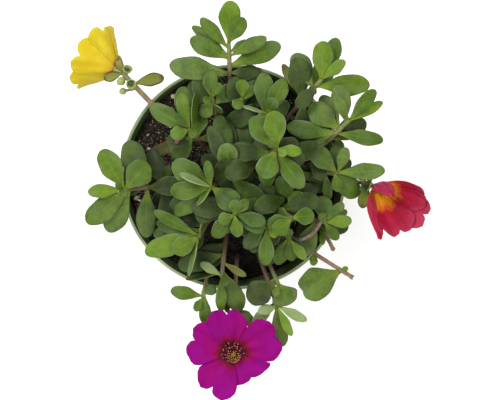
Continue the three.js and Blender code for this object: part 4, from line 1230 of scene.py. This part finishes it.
def petal_points(bloom, turn, longer, wider, finer, draw):
    """One obcordate petal, its foot beside the flower's axis (+Z) at the given turn."""
    inner, outer = (math.radians(a) for a in bloom["bell"])
    outer += math.radians(finer.get("fold", 0))
    angles = inner + (outer - inner) * np.arange(1, PETAL_STEPS + 1) / PETAL_STEPS
    reach = bloom["length"] * longer / PETAL_STEPS
    radius = np.concatenate([[PETAL_FOOT], PETAL_FOOT + np.cumsum(np.sin(angles)) * reach])
    height = np.concatenate([[0], np.cumsum(np.cos(angles)) * reach])
    angles = np.concatenate([[inner], angles])
    share = np.linspace(0, 1, PETAL_STEPS + 1)
    v = PETAL_FORM[:, 1]
    # two round lobes with a notch between them
    lobe = np.sqrt(np.clip(1 - ((np.abs(v) - 0.5) / 0.51) ** 2, 0, 1))
    dip = finer.get("notch", bloom["notch"]) * (1 - lobe)
    outward = np.clip(np.abs(v) - 0.3, 0, 1) / 0.7
    teeth = np.sin(v * draw(7, 10) + draw(0, 6))
    jagged = bloom["jagged"] * (teeth + 0.7 * np.sin(v * 23 + draw(0, 6)))
    skewed = finer.get("skew", 0) * v
    u = 0.5 * (PETAL_FORM[:, 0] + 1) * (1 - dip - 0.2 * outward**2 + jagged + skewed)
    r = np.interp(u, share, radius)
    z = np.interp(u, share, height)
    angle = np.interp(u, share, angles)
    opening = np.sin(0.5 * math.pi * np.minimum(1, u / 0.72)) ** 1.1
    across = bloom["width"] * wider * (0.16 + 0.84 * opening) * (1 - finer.get("point", 0) * u**3)
    lateral = 0.5 * v * np.minimum(across, 1.3 * 2 * math.pi * r / PETAL_COUNT)
    curl = np.maximum(r / np.maximum(0.05, np.cos(angle)), 0.4 * across) * finer.get("flat", 1)
    bend = lateral / curl
    ripple = 0.5 * np.sin(3.2 * v + 5 * u) * u
    crimp = bloom["crimp"] * np.sin(v * draw(8, 12) + draw(0, 6)) * u**3
    folds = np.sin(v * draw(5, 9) + draw(0, 6) + 2 * u) * np.sin(math.pi * u) * (1 - v * v)
    lip = 0.5 * draw(-0.6, 1.0) * u**6
    inward = curl * (1 - np.cos(bend)) + bloom["shingle"] * v * np.minimum(1, 4 * u)
    inward = inward + ripple + crimp + bloom["pleat"] * folds - lip
    x = r - np.cos(angle) * inward
    y = curl * np.sin(bend)
    high = z + np.sin(angle) * inward
    a = math.radians(turn)
    return np.stack([x * math.cos(a) - y * math.sin(a), x * math.sin(a) + y * math.cos(a), high], 1)


def through(place, points):
    rotation = np.array(place.to_3x3())
    return points @ rotation.T + np.array(place.translation)


def grown_petals(stem, draw):
    bloom = stem["bloom"]
    place = placed_along(Vector(stem["tip"]), heading(*stem["axis"]))
    petals = []
    for k, (turn, longer, wider) in enumerate(bloom["each"]):
        turned = bloom["turn"] + 360 / PETAL_COUNT * k + turn
        finer = bloom["finer"].get(k, {})
        points = petal_points(bloom, turned, longer, wider, finer, draw)
        petals.append(copy_of(petal_pattern, through(place, points)))
    whole = joined(petals, bloom["petals"] + "_grown")
    for face in PETAL_FACES[bloom["petals"]]:
        whole.data.materials.append(face)
    # a petal that is the same on both its faces takes the last finish all over; the red bloom's
    # last finish is a lighter copy of its outside, painted light
    each_way = [2 * bloom["finer"].get(k, {}).get("same", 0) for k in range(PETAL_COUNT)]
    faces = np.repeat(each_way, PETAL_ROWS * PETAL_COLUMNS)
    whole.data.polygons.foreach_set("material_index", faces)
    skin = whole.modifiers.new("skin", "SOLIDIFY")
    skin.thickness = 2 * PETAL_FLESH * MM
    skin.offset = 0
    skin.material_offset = 1
    apply_modifier(whole, skin)
    return whole


def model_turned(name, profile, sides):
    """A closed turned piece (mm), built up ring by ring from a disc."""
    start_fresh()
    (radius, level), *rest = profile
    bpy.ops.mesh.primitive_circle_add(
        vertices=sides, radius=radius * MM, fill_type="NGON", location=(0, 0, 0)
    )
    piece = bpy.context.object
    edit(piece)
    bpy.ops.mesh.select_all(action="SELECT")
    bpy.ops.transform.translate(value=(0, 0, level * MM))
    for r, z in rest:
        bpy.ops.mesh.extrude_region_move(
            TRANSFORM_OT_translate={"value": (0, 0, (z - level) * MM)}
        )
        bpy.ops.transform.resize(value=(r / radius, r / radius, 1))
        radius, level = r, z
    face_outwards()
    return finish_edit(piece, name)


def placed(pattern, place, stretch=(1, 1, 1)):
    """A copy of a pattern piece, stretched and set at a place."""
    points = points_of(pattern.data) / MM * np.array(stretch)
    return copy_of(pattern, through(place, points))


filament_pattern = model_turned("filament_pattern", [(0.1, 0), (0.075, 0.5), (0.06, 1)], 5)
anther_pattern = model_turned(
    "anther_pattern", [(0.1, -0.32), (0.2, -0.2), (0.23, 0.05), (0.16, 0.28), (0.04, 0.38)], 6
)
CROWD_TURN = -70  # the side of the pistil where stamens crowd together
CROWD_LEAN = 0.36  # how far the crowd leans, as a share of the widest stamens
STIGMA_ARMS = 7
# how many stamens stand apart, how many crowd together beside the pistil, how much wider
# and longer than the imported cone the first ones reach, and how far they lean to the crowd
STAMENS_IN_BLOOM = {
    "stamens_yellow": (16, 8, 1.15, 1.0, 0.2),
    "stamens_red": (16, 8, 1.15, 1.0, 0.2),
    "stamens_magenta": (44, 44, 1.3, 1.16, -0.1),
}


def grown_stamens(stem, draw):
    """Filaments and anthers round a pistil with a parted style."""
    bloom = stem["bloom"]
    flower = placed_along(Vector(stem["tip"]), heading(*stem["axis"]))
    filaments, heads = [], []
    apart, crowded, wider, longer, aside = STAMENS_IN_BLOOM[bloom["stamens"]]
    spread = bloom["spread"] * wider
    ways = []
    for k in range(apart):
        lean = spread * math.sqrt((k + 0.5) / apart)
        way = heading(GOLDEN_TURN * k + draw(-30, 30), 90 - lean - draw(-5, 5))
        way = (way + aside * math.radians(spread) * heading(CROWD_TURN, 0)).normalized()
        ways.append((way, draw(3.6, 6.2) * longer * (1.12 - 0.25 * lean / 60)))
    to_one_side = heading(CROWD_TURN, 90 - CROWD_LEAN * spread)
    for k in range(crowded):
        lean = 0.6 * spread * math.sqrt((k + 0.5) / crowded)
        way = (to_one_side + heading(GOLDEN_TURN * k, 0) * math.radians(lean)).normalized()
        ways.append((way, draw(4.2, 5.2)))
    for index, (way, length) in enumerate(ways):
        foot = way * 0.9 + Vector((0, 0, 0.7))
        stand = flower @ placed_along(foot, way)
        filaments.append(placed(filament_pattern, stand, (1, 1, length)))
        tilt = heading(draw(0, 360), draw(10, 70))
        head = placed(anther_pattern, flower @ placed_along(foot + way * length, tilt))
        spent = longer > 1 and index < 0.7 * apart
        finish_with([head], grain["spent_pollen" if spent else "pollen"])
        heads.append(head)
    style = flower @ placed_along(Vector((0, 0, 0.5)), UP)
    pistil = [placed(filament_pattern, style, (2.6, 2.6, 4.6))]
    for k in range(STIGMA_ARMS):
        arm = heading(51 * k + 20, draw(18, 48))
        spot = flower @ placed_along(Vector((0, 0, 4.9)), arm)
        pistil.append(placed(filament_pattern, spot, (2.4, 2.4, draw(1.5, 2.1))))
    wide = bloom["disc"]
    disc = placed(anther_pattern, flower @ Matrix.Translation((0, 0, 0.2)), (wide, wide, 1.3))
    finish_with(filaments + [disc], grain[bloom["stamens"].replace("stamens", "filament")])
    finish_with(pistil, grain["pollen"])
    return joined(filaments + [disc] + pistil + heads, bloom["stamens"] + "_grown")


# ---- capsules, buds and seeds ----

CAPSULE_SIDES = 28
BUD_SIDES = 16
SEEDS_IN_CAPSULE = 26
cup_pattern = model_turned(
    "cup_pattern",
    [
        (0.1, -0.3), (0.42, -0.24), (0.62, -0.12), (0.86, 0.22), (0.97, 0.52), (1.0, 0.68),
        (0.94, 0.75), (0.84, 0.7), (0.8, 0.5), (0.66, 0.24), (0.45, 0.15), (0.05, 0.14),
    ],
    CAPSULE_SIDES,
)
bud_pattern = model_turned(
    "bud_pattern",
    [
        (0.2, -1.0), (0.66, -0.78), (0.96, -0.3), (0.98, 0.15), (0.72, 0.7), (0.32, 1.08),
        (0.05, 1.2),
    ],
    BUD_SIDES,
)
calyx_pattern = model_turned(
    "calyx_pattern",
    [
        (0.9, -4.6), (1.05, -3.6), (1.35, -2.4), (1.9, -1.2), (2.5, -0.4), (2.75, 0.0),
        (2.2, -0.2), (1.2, -0.3),
    ],
    BUD_SIDES,
)
finish_with([cup_pattern, bud_pattern, calyx_pattern], grain["capsule_green"])


def model_seed():
    """A small rounded grain with a dent on one side."""
    start_fresh()
    bpy.ops.mesh.primitive_ico_sphere_add(subdivisions=2, radius=1 * MM)
    seed = bpy.context.object
    edit(seed)
    pick(seed, "vert", lambda co: co.x > 0.8 * MM)
    bpy.ops.transform.translate(value=(-0.35 * MM, 0, 0))
    bpy.ops.mesh.select_all(action="SELECT")
    bpy.ops.transform.resize(value=(1, 0.9, 0.62))
    return finish_edit(seed, "seed_pattern")


seed_pattern = model_seed()
finish_with([seed_pattern], grain["seed_coat"])
PATTERNS = [
    leaf_pattern, tube_pattern, petal_pattern, filament_pattern, anther_pattern, cup_pattern,
    bud_pattern, calyx_pattern, seed_pattern,
]


def capsule_place(foot, at):
    base = Vector(at)
    aim = ((base - foot).normalized() + UP).normalized()
    return placed_along(base, aim)


def grown_seeds(name, place, radius, draw):
    """A heap of loose grains in the capsule, highest in the middle."""
    grains = []
    for k in range(SEEDS_IN_CAPSULE):
        ring = math.sqrt((k + 0.5) / SEEDS_IN_CAPSULE)
        out = heading(GOLDEN_TURN * k, 0) * ring * radius * 0.44
        out.z = 0.95 + (1 - ring) * radius * 0.2 + draw(-0.12, 0.12)
        lie = placed_along(out, heading(draw(0, 360), draw(20, 90)))
        size = draw(0.36, 0.46)
        grains.append(placed(seed_pattern, place @ lie, (size, size, size)))
    return joined(grains, name)


# ---- whole stems ----


def stem_path(curve):
    buried = curve[0].copy()
    buried.z = STEM_FOOT
    path = [buried, buried.lerp(curve[0], 0.5)]
    path += [on_curve(curve, k / STEM_STEPS) for k in range(STEM_STEPS + 1)]
    return path


def path_share(curve, drop):
    """Where along the whole rod, buried part included, a leaf stands."""
    path = stem_path(curve)
    lengths = [(b - a).length for a, b in zip(path, path[1:])]
    t = max(0, 1 - drop / (curve[0] - curve[3]).length)
    upto = lengths[0] + lengths[1] + sum(lengths[2:2 + round(STEM_STEPS * t)])
    return upto / sum(lengths)


def node_corners(name):
    """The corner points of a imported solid, in millimetres, ready for a nearest search."""
    points = points_of(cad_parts[name].data) / MM
    tree = kdtree.KDTree(len(points))
    for index, point in enumerate(points):
        tree.insert(point, index)
    tree.balance()
    return tree


def grown_rod(stem, leaves):
    drops = [leaf["drop"] for leaf in leaves if leaf["drop"] > BARE_TIP]
    knuckles = [path_share(stem["curve"], drop) for drop in drops]
    torn = stem.get("torn", 0)
    radius = stem.get("stout", 0.92) * STEM_RADIUS
    rod = bent_rod(stem_path(stem["curve"]), radius, 0.8, sorted(set(knuckles)), torn)
    ripe = 1 - (0.3 if torn else 1) * TUBE_FORM[:, 2] ** 2
    set_growth(rod.data, stem["fresh"], ripe, 0, 0)
    return rod


# how fresh a leaf is, where its stem doesn't tell: past 1.2 it is wilted, past 1.9 bleached
LEAF_AGES = {
    "leafy_stem_01": {0: 1.0, 1: 0.85, 2: 0.65, 3: 0.65, 4: 0.6, 5: 0.75, 6: 0.42, 7: 0.4, 8: 0.5},
    "leafy_stem_02": {0: 1.0, 1: 1.1, 2: 0.75, 3: 1.0, 4: 0.38, 5: 0.1, 6: 0.72, 7: 1.6, 9: 0.3},
    "leafy_stem_03": {0: 0.55, 1: 0.85, 2: 1.05, 3: 0.5, 4: 0.8, 5: 0.55, 6: 0.6, 7: 0.48, 9: 0.5},
    "leafy_stem_04": {0: 0.6, 1: 0.55, 2: 0.6, 3: 0.75, 4: 0.65, 5: 0.42, 6: 0.5, 7: 0.36},
    "leafy_stem_05": {2: 1.0, 3: 0.95, 4: 0.78, 7: 0.3, 8: 0.5, 9: 0.48, 10: 0.1, 13: 0.0},
    "leafy_stem_06": {
        0: 0.5, 1: 0.8, 2: 0.95, 3: 0.95, 4: 0.88, 5: 0.6, 6: 0.9, 7: 0.4, 8: 0.5, 9: 1,
    },
    "leafy_stem_07": {0: 0.9, 1: 0.85, 2: 0.6, 3: 0.65, 4: 0.5, 5: 0.6, 6: 0.42},
    "leafy_stem_08": {0: 0.9, 1: 0.85, 2: 0.75, 5: 0.3},
    "leafy_stem_09": {0: 0.85, 2: 2.2, 3: 0.85, 4: 0.52},
    "leafy_stem_10": {0: 0.8, 1: 1.1, 2: 1.1, 3: 0.95, 4: 0.7, 5: 0.75, 6: 0.72, 7: 0.4, 8: 0.45},
    "leafy_stem_11": {
        0: 0.7, 1: 0.9, 2: 2.25, 3: 0.62, 4: 0.72, 5: 0.5, 6: 0.45, 7: 0.75, 8: 0.3, 9: 0.9,
    },
    "leafy_stem_12": {0: 0.82, 1: 0.1, 2: 0.33, 3: 0.3, 4: 0.0, 5: 0.7},
    "leafy_stem_13": {0: 0.7, 1: 0.8, 2: 0.88, 3: 0.88, 4: 0.6, 5: 0.38, 6: 0.4},
    "leafy_stem_14": {0: 0.85, 1: 0.95, 2: 0.95, 3: 0.7, 4: 0.55, 5: 1.05, 6: 0.6, 7: 0.1},
    "leafy_stem_15": {1: 2.2, 2: 1.6, 3: 0.27, 4: 0.15, 5: 0.2, 6: 0.05, 7: 0.1, 8: 0.9, 9: 0.9},
    "leafy_stem_16": {0: 0.7, 1: 0.8},
    "leafy_stem_17": {0: 0.85, 2: 0.88, 3: 0.35, 4: 0.6},
    "leafy_stem_18": {1: 1.05, 2: 0.75, 3: 0.8, 4: 0.6},
    "leafy_stem_19": {0: 0.75, 1: 0.8, 2: 0.6, 3: 0.4},
    "leafy_stem_20": {0: 0.75, 1: 0.8, 2: 0.55, 3: 0.15, 4: 0.6},
    "leafy_stem_21": {0: 0.6, 1: 1.0, 2: 0.8, 3: 0.42, 4: 0.5, 5: 0.5, 6: 0.5},
    "leafy_stem_22": {0: 0.58, 1: 1.15, 2: 1.15},
    "leafy_stem_23": {0: 0.6, 1: 0.85, 2: 0.08},
    "leafy_stem_24": {0: 2.3, 1: 1.1, 2: 2.3, 3: 0.6, 4: 2.4},
    "leafy_stem_25": {0: 1.15, 1: 1.0},
    "flower_stem_yellow": {0: 1.4, 1: 1.6, 2: 1.5},
    "flower_stem_red": {0: 1.4, 1: 1.2},
    "flower_stem_magenta": {2: 0.55},
}
# leaves with a reddened border, and how red it is
RED_BORDERS = {
    ("leafy_stem_01", 6): 0.35, ("leafy_stem_01", 7): 0.45, ("leafy_stem_02", 7): 0.5,
    ("leafy_stem_05", 7): 0.35, ("leafy_stem_06", 8): 1.0, ("leafy_stem_12", 0): 0.42,
    ("leafy_stem_12", 1): 0.35, ("leafy_stem_15", 2): 0.5, ("leafy_stem_23", 1): 0.5,
    ("leafy_stem_23", 2): 0.35, ("leafy_stem_24", 3): 0.5, ("flower_stem_yellow", 0): 1.0,
    ("flower_stem_yellow", 1): 0.9, ("flower_stem_yellow", 2): 0.9, ("flower_stem_red", 0): 0.7,
    ("flower_stem_red", 1): 0.5,
}
CLEFT_LEAVES = {("leafy_stem_22", 0): 0.07}
BLUSH = 0.15


YOUNG_DROP = 12  # leaves less than this far down the stem are still young
CROWN_EDGE = 62  # leaves that reach past this radius, or above this height, stand in the light
CROWN_TOP = 117


def leaf_freshness(stem, leaf, pose):
    """0 for an old, shaded leaf to 1 for a young one at a stem's tip."""
    young = max(0.0, 1 - leaf["drop"] / YOUNG_DROP)
    tip = pose["rib"][2]
    inside = min(1, max(0, (CROWN_EDGE - math.hypot(tip.x, tip.y)) / 12))
    shade = inside * min(1, max(0, (CROWN_TOP - tip.z) / 16))
    fresh = (0.12 + 0.88 * stem["fresh"]) * (0.45 + 0.55 * young) - 0.45 * shade
    return max(0, fresh * (0.4 if leaf["drop"] >= LOWER_DROP else 1))


def grown_blades(name, stem, leaves, draw):
    blades = []
    corners = node_corners(name)
    for index, leaf in enumerate(leaves):
        pose = settle(leaf, corners)
        if pose is None:
            continue
        fresh = leaf_freshness(stem, leaf, pose) + draw(-0.1, 0.1)
        blush = BLUSH * draw(0.4, 1.0)
        fresh = LEAF_AGES.get(name, {}).get(index, fresh)
        blush = RED_BORDERS.get((name, index), blush)
        cleft = CLEFT_LEAVES.get((name, index), 0)
        blades.append(grown_leaf(pose, fresh, blush, draw, cleft))
    return blades


SEPAL_LENGTH = 5.5
SEPAL_WIDTH = 4.9
STALK_RADIUS = 0.75
BUD_SWELL = 1.25
SHOOT_RADIUS = 1.15


def grown_sepals(stem, place, draw):
    """Two short fleshy scales that clasp the foot of the bloom."""
    bloom = stem["bloom"]
    lean = math.radians(bloom["bell"][0])
    out = Vector((math.sin(lean), 0, math.cos(lean)))
    aside = Vector((math.cos(lean), 0, -math.sin(lean)))
    scales = []
    for k in range(2):
        turn = Matrix.Rotation(math.radians(bloom["turn"] + 40 + 180 * k), 4, "Z")
        foot = place @ turn @ Vector((1.0, 0, -2.4))
        middle = place @ turn @ (Vector((PETAL_FOOT, 0, -0.6)) + aside * 0.9)
        tip = place @ turn @ (Vector((PETAL_FOOT, 0, 0)) + out * SEPAL_LENGTH + aside * 0.9)
        side = (place @ turn).to_3x3() @ Vector((0, -1, 0))
        pose = {"rib": (foot, middle, tip), "side": side, "width": SEPAL_WIDTH}
        scales.append(grown_leaf(pose, 2.0, 0.5, draw))
    return scales


def straight_stalk(foot, end):
    path = [foot.lerp(end, k / 8) for k in range(9)]
    stalk = bent_rod(path, STALK_RADIUS)
    set_growth(stalk.data, 0.4, 0.35, 0, 0)
    return stalk


def grown_bud(stem, drop, at, stretch):
    """A closed bud and its stalk."""
    foot = foot_point(stem["curve"], drop)
    way = placed_along(Vector(at), (Vector(at) - foot).normalized())
    return placed(bud_pattern, way, stretch), straight_stalk(foot, Vector(at))


draw = Draw(2718)
for name, stem in {**LEAFY_STEMS, **FLOWER_STEMS}.items():
    stem["curve"] = stem_curve(stem)
low = lower_leaves()
finished = []  # piece, the solids that it stands for, its finish slot

for name, stem in FLOWER_STEMS.items():
    leaves = leaf_list(stem)
    parts = grown_blades(name, stem, leaves, draw)
    parts.append(grown_rod(stem, leaves))
    flower = placed_along(Vector(stem["tip"]), heading(*stem["axis"]))
    parts.append(placed(calyx_pattern, flower))
    parts += grown_sepals(stem, flower, draw)
    for drop, at, radius, seeds in stem["capsules"]:
        foot = foot_point(stem["curve"], drop)
        cup = capsule_place(foot, at)
        parts.append(placed(cup_pattern, cup, (radius, radius, radius)))
        parts.append(straight_stalk(foot, Vector(at)))
        finished.append((grown_seeds(seeds + "_grains", cup, radius, draw), [seeds], "seed"))
    for drop, at, radius in stem["buds"]:
        parts += grown_bud(stem, drop, at, (BUD_SWELL * radius,) * 3)
    finished.append((joined(parts, name + "_grown"), [name], "leaf"))
    bloom = stem["bloom"]
    finished.append((grown_petals(stem, draw), [bloom["petals"]], bloom["slot"]))
    finished.append((grown_stamens(stem, draw), [bloom["stamens"]], "pollen"))

for name, stem in LEAFY_STEMS.items():
    leaves = leaf_list(stem) + low[name]
    parts = [grown_rod(stem, leaves)] + grown_blades(name, stem, leaves, draw)
    if "spent_bud" in stem:
        drop, at, radius = stem["spent_bud"]
        bud, stalk = grown_bud(stem, drop, at, (radius, radius, 1.5 * radius))
        finish_with([bud], grain["spent_bloom"])
        parts += [bud, stalk]
    if "bare_shoot" in stem:
        shoot = bent_rod(stem["bare_shoot"], SHOOT_RADIUS, 0.85)
        finish_with([shoot], grain["old_bark"])
        parts.append(shoot)
    finished.append((joined(parts, name + "_grown"), [name], "leaf"))


# ---- peat ----

PEAT_SIDES = 220
PEAT_RINGS = 62
PEAT_WAIST = (51.5, 70)  # radius and height where the collar ends
PEAT_FOOT = (38.7, 3.8)
CRUMBS = 1500
PALE_CRUMBS = 1500
PERLITE_BITS = 34
# each: where it lies and its size
BARE_PERLITE = [
    (-31.8, 43.6, 2.5), (-30.2, 42.2, 1.7), (-46, 22.6, 1.0), (-45.6, 15.5, 1.3), (-28, 36.5, 1.5),
    (-51.8, -11.3, 2.0), (-50.2, -12.4, 1.2),
]


def peat_height(x, y):
    """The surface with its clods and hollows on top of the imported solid's own mounds."""
    here = Vector((x, y, 0))
    clods = noise.fractal(here * 0.16, 0.9, 2.1, 5) * 0.9
    lumps = noise.turbulence(here * 0.55, 3, False) * 0.8
    return soil_height(x, y) + clods + lumps - 0.6


def model_peat():
    """A disc built out ring by ring, then turned down the wall and closed under."""
    start_fresh()
    step = SOIL_RADIUS / PEAT_RINGS
    bpy.ops.mesh.primitive_circle_add(
        vertices=PEAT_SIDES, radius=step * MM, fill_type="NGON", location=(0, 0, 0)
    )
    disc = bpy.context.object
    edit(disc)
    bpy.ops.mesh.select_mode(type="EDGE")
    bpy.ops.mesh.select_all(action="SELECT")
    bpy.ops.mesh.region_to_loop()
    for ring in range(2, PEAT_RINGS + 1):
        bpy.ops.mesh.extrude_edges_move()
        bpy.ops.transform.resize(value=(ring / (ring - 1), ring / (ring - 1), 1))
    # the drops are rough, and the points get their real heights below
    for drop, share in ((15, PEAT_WAIST[0] / SOIL_RADIUS), (63, PEAT_FOOT[0] / PEAT_WAIST[0])):
        bpy.ops.mesh.extrude_edges_move(TRANSFORM_OT_translate={"value": (0, 0, -drop * MM)})
        bpy.ops.transform.resize(value=(share, share, 1))
    bpy.ops.mesh.edge_face_add()
    face_outwards()
    finish_edit(disc, "peat_surface")
    points = points_of(disc.data) / MM
    for point in points:
        if point[2] > -1:
            reach = math.hypot(point[0], point[1])
            settled = min(1, max(0, (SOIL_RADIUS - reach) / 2))
            point[2] = peat_height(point[0], point[1]) - 0.5 * (1 - settled)
            if reach > SOIL_RADIUS - 0.01:
                wall = COLLAR_FOOT[0] + (point[2] - COLLAR_FOOT[1]) * COLLAR_LEAN
                point[:2] *= wall / reach
        else:
            point[2] = PEAT_WAIST[1] if point[2] > -20 else PEAT_FOOT[1]
    move_points(disc.data, points * MM)
    return joined([disc], "peat_surface")


def model_crumb(name, lumps):
    """A grain of peat: a small ball knocked out of round."""
    start_fresh()
    bpy.ops.mesh.primitive_ico_sphere_add(subdivisions=1, radius=1 * MM)
    crumb = bpy.context.object
    edit(crumb)
    for dx, dy, dz, pull in lumps:
        way = Vector((dx, dy, dz))
        pick(crumb, "vert", lambda co: co.normalized().dot(way) > 0.5)
        bpy.ops.transform.translate(value=way * pull * MM)
    return finish_edit(crumb, name)


def strewn(pattern_list, count, sizes, name, draw, spot):
    """Copies of the patterns lying on the peat, half sunk in it."""
    bits = []
    for k in range(count):
        x, y = spot(draw)
        size = draw(*sizes)
        rest = Vector((x, y, peat_height(x, y) + 0.15 * size))
        lie = placed_along(rest, heading(draw(0, 360), draw(-90, 90)))
        pattern = pattern_list[k % len(pattern_list)]
        bits.append(placed(pattern, lie, (size, size * draw(0.6, 1), size * draw(0.5, 1))))
    return joined(bits, name)


def anywhere(draw):
    reach = (SOIL_RADIUS - 1.5) * math.sqrt(draw(0, 1))
    turn = draw(0, 2 * math.pi)
    return reach * math.cos(turn), reach * math.sin(turn)


# pale crumbs lie towards the back left: partly drier peat, partly painted light, as the front right
# lies in shade
def on_dry_lit_side(draw):
    while True:
        x, y = anywhere(draw)
        if y - x > draw(0, 34):
            return x, y


peat_surface = model_peat()
finish_with([peat_surface], peat)
finished.append((peat_surface, ["soil"], "soil"))
crumbs = [
    model_crumb("crumb_a", [(1, 0, 0, 0.5), (0, 1, 0, -0.25)]),
    model_crumb("crumb_b", [(0, 0, 1, -0.4), (0, 1, 0, 0.35)]),
    model_crumb("crumb_c", [(0.7, 0.7, 0, 0.3), (0, 0, -1, 0.2)]),
]
finish_with(crumbs, grain["peat_crumb"])
loose = strewn(crumbs, CRUMBS, (0.25, 0.95), "peat_crumbs", draw, anywhere)
finish_with(crumbs, grain["pale_crumb"])
pale = strewn(crumbs, PALE_CRUMBS, (0.18, 0.52), "pale_crumbs", draw, on_dry_lit_side)
finish_with(crumbs, grain["perlite"])
white = strewn(crumbs, PERLITE_BITS, (0.3, 0.8), "perlite_bits", draw, anywhere)
large = []
for k, (x, y, size) in enumerate(BARE_PERLITE):
    lie = placed_along(Vector((x, y, peat_height(x, y) + 0.2)), heading(67 * k, 40))
    large.append(placed(crumbs[k % 3], lie, (size, 0.75 * size, 0.6 * size)))
white = joined([white] + large, "perlite_bits")
finished += [(loose, [], "soil"), (pale, [], "soil"), (white, [], "soil")]


# ---- pot ----

POT_SIDES = 128
POT_PROFILE = [
    (10.0, 0.0), (11.0, 2.0), (37.0, 2.0), (38.0, 0.0), (41.2, 0.0), (41.7, 0.2), (42.0, 0.9),
    (53.69, 72.0), (54.0, 72.2), (56.0, 72.5), (56.29, 72.9), (58.75, 89.4), (59.6, 89.65),
    (60.0, 90.1), (60.0, 91.3), (59.85, 91.8), (59.5, 92.0), (58.7, 92.0), (58.25, 91.8),
    (58.0, 91.0), (54.69, 74.0), (54.2, 72.6), (52.09, 71.0), (39.4, 5.4), (38.6, 3.6),
    (37.2, 3.4),
]
DRAIN_HOLES = 6
DRAIN_SIDES = 24
DRAIN_RADIUS = 3
DRAIN_CIRCLE = 24
SHARP_EDGE = 32


def model_pot():
    """The turned shell, with its drain holes cut through the floor."""
    shell = model_turned("pot_shell", POT_PROFILE, POT_SIDES)
    bpy.ops.mesh.primitive_cylinder_add(
        vertices=DRAIN_SIDES, radius=DRAIN_RADIUS * MM, depth=12 * MM,
        location=(DRAIN_CIRCLE * MM, 0, 2 * MM),
    )
    drill = bpy.context.object
    bpy.ops.object.transform_apply(location=True, rotation=False, scale=False)
    bits = []
    for k in range(DRAIN_HOLES):
        turn = Matrix.Rotation(math.radians(360 / DRAIN_HOLES * k), 4, "Z")
        bits.append(placed(drill, turn))
    drills = joined(bits, "drain_drills")
    cut = shell.modifiers.new("drains", "BOOLEAN")
    cut.operation = "DIFFERENCE"
    cut.solver = "EXACT"
    cut.object = drills
    apply_modifier(shell, cut)
    for spent in (drill, drills):
        bpy.data.objects.remove(spent)
    shell.select_set(True)
    bpy.ops.object.shade_smooth_by_angle(angle=math.radians(SHARP_EDGE))
    start_fresh()
    return shell


pot_shell = model_pot()
finish_with([pot_shell], pot_plastic)
finished.append((pot_shell, ["pot"], "pot"))

for pattern in PATTERNS + crumbs:
    bpy.data.objects.remove(pattern)
for piece, nodes, slot in finished:
    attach(piece, "root")
    if nodes:
        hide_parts(*nodes)


# ---- floor, light and camera ----

# each light: its turn round the plant and its power
SOFT_LIGHTS = {
    "upper_left": (135, 15), "upper_right": (45, 9),
    "lower_left": (225, 9), "lower_right": (315, 7),
}
LIGHT_AWAY = 1.5
LIGHT_HEIGHT_ANGLE = 50
LIGHT_AIM = Vector((0, 0, 0.08))
LIGHT_WIDTH = 0.8
STUDIO_STRENGTH = 0.45
CAMERA_PLACE = Vector((8.95, -12.2, 992)) * MM
CAMERA_LENS = 121.6


def make_floor_finish():
    finish, paint, shader = new_finish("floor_paper", 0.2)
    tone = paint.mixed(paint.speckle(3.0, 2.0), "#f4f4f2", "#fbfbfa")
    paint.fill(shader, {"Base Color": tone, "Roughness": 0.9})
    return finish


def add_area_light(name, place, power):
    lamp = bpy.data.lights.new(name, "AREA")
    lamp.shape = "DISK"
    lamp.size = LIGHT_WIDTH
    lamp.energy = power
    holder = bpy.data.objects.new(name, lamp)
    holder.location = place
    holder.rotation_euler = (LIGHT_AIM - place).to_track_quat("-Z", "Y").to_euler()
    bpy.context.collection.objects.link(holder)


start_fresh()
bpy.ops.mesh.primitive_plane_add(size=6, location=(0, 0, 0))
floor = bpy.context.object
floor.name = "floor"
finish_with([floor], make_floor_finish())

scene = bpy.context.scene
scene.view_settings.view_transform = "Standard"
scene.world = scene.world or bpy.data.worlds.new("studio")
scene.world.use_nodes = True
backdrop = scene.world.node_tree.nodes["Background"]
backdrop.inputs["Color"].default_value = (1, 1, 1, 1)
backdrop.inputs["Strength"].default_value = STUDIO_STRENGTH
for name, (turn, power) in SOFT_LIGHTS.items():
    add_area_light(name, LIGHT_AWAY * heading(turn, LIGHT_HEIGHT_ANGLE), power)

lens = bpy.data.cameras.new("camera")
lens.sensor_fit = "HORIZONTAL"
lens.sensor_width = 36
lens.lens = CAMERA_LENS
camera = bpy.data.objects.new("camera", lens)
camera.location = CAMERA_PLACE
bpy.context.collection.objects.link(camera)
scene.camera = camera
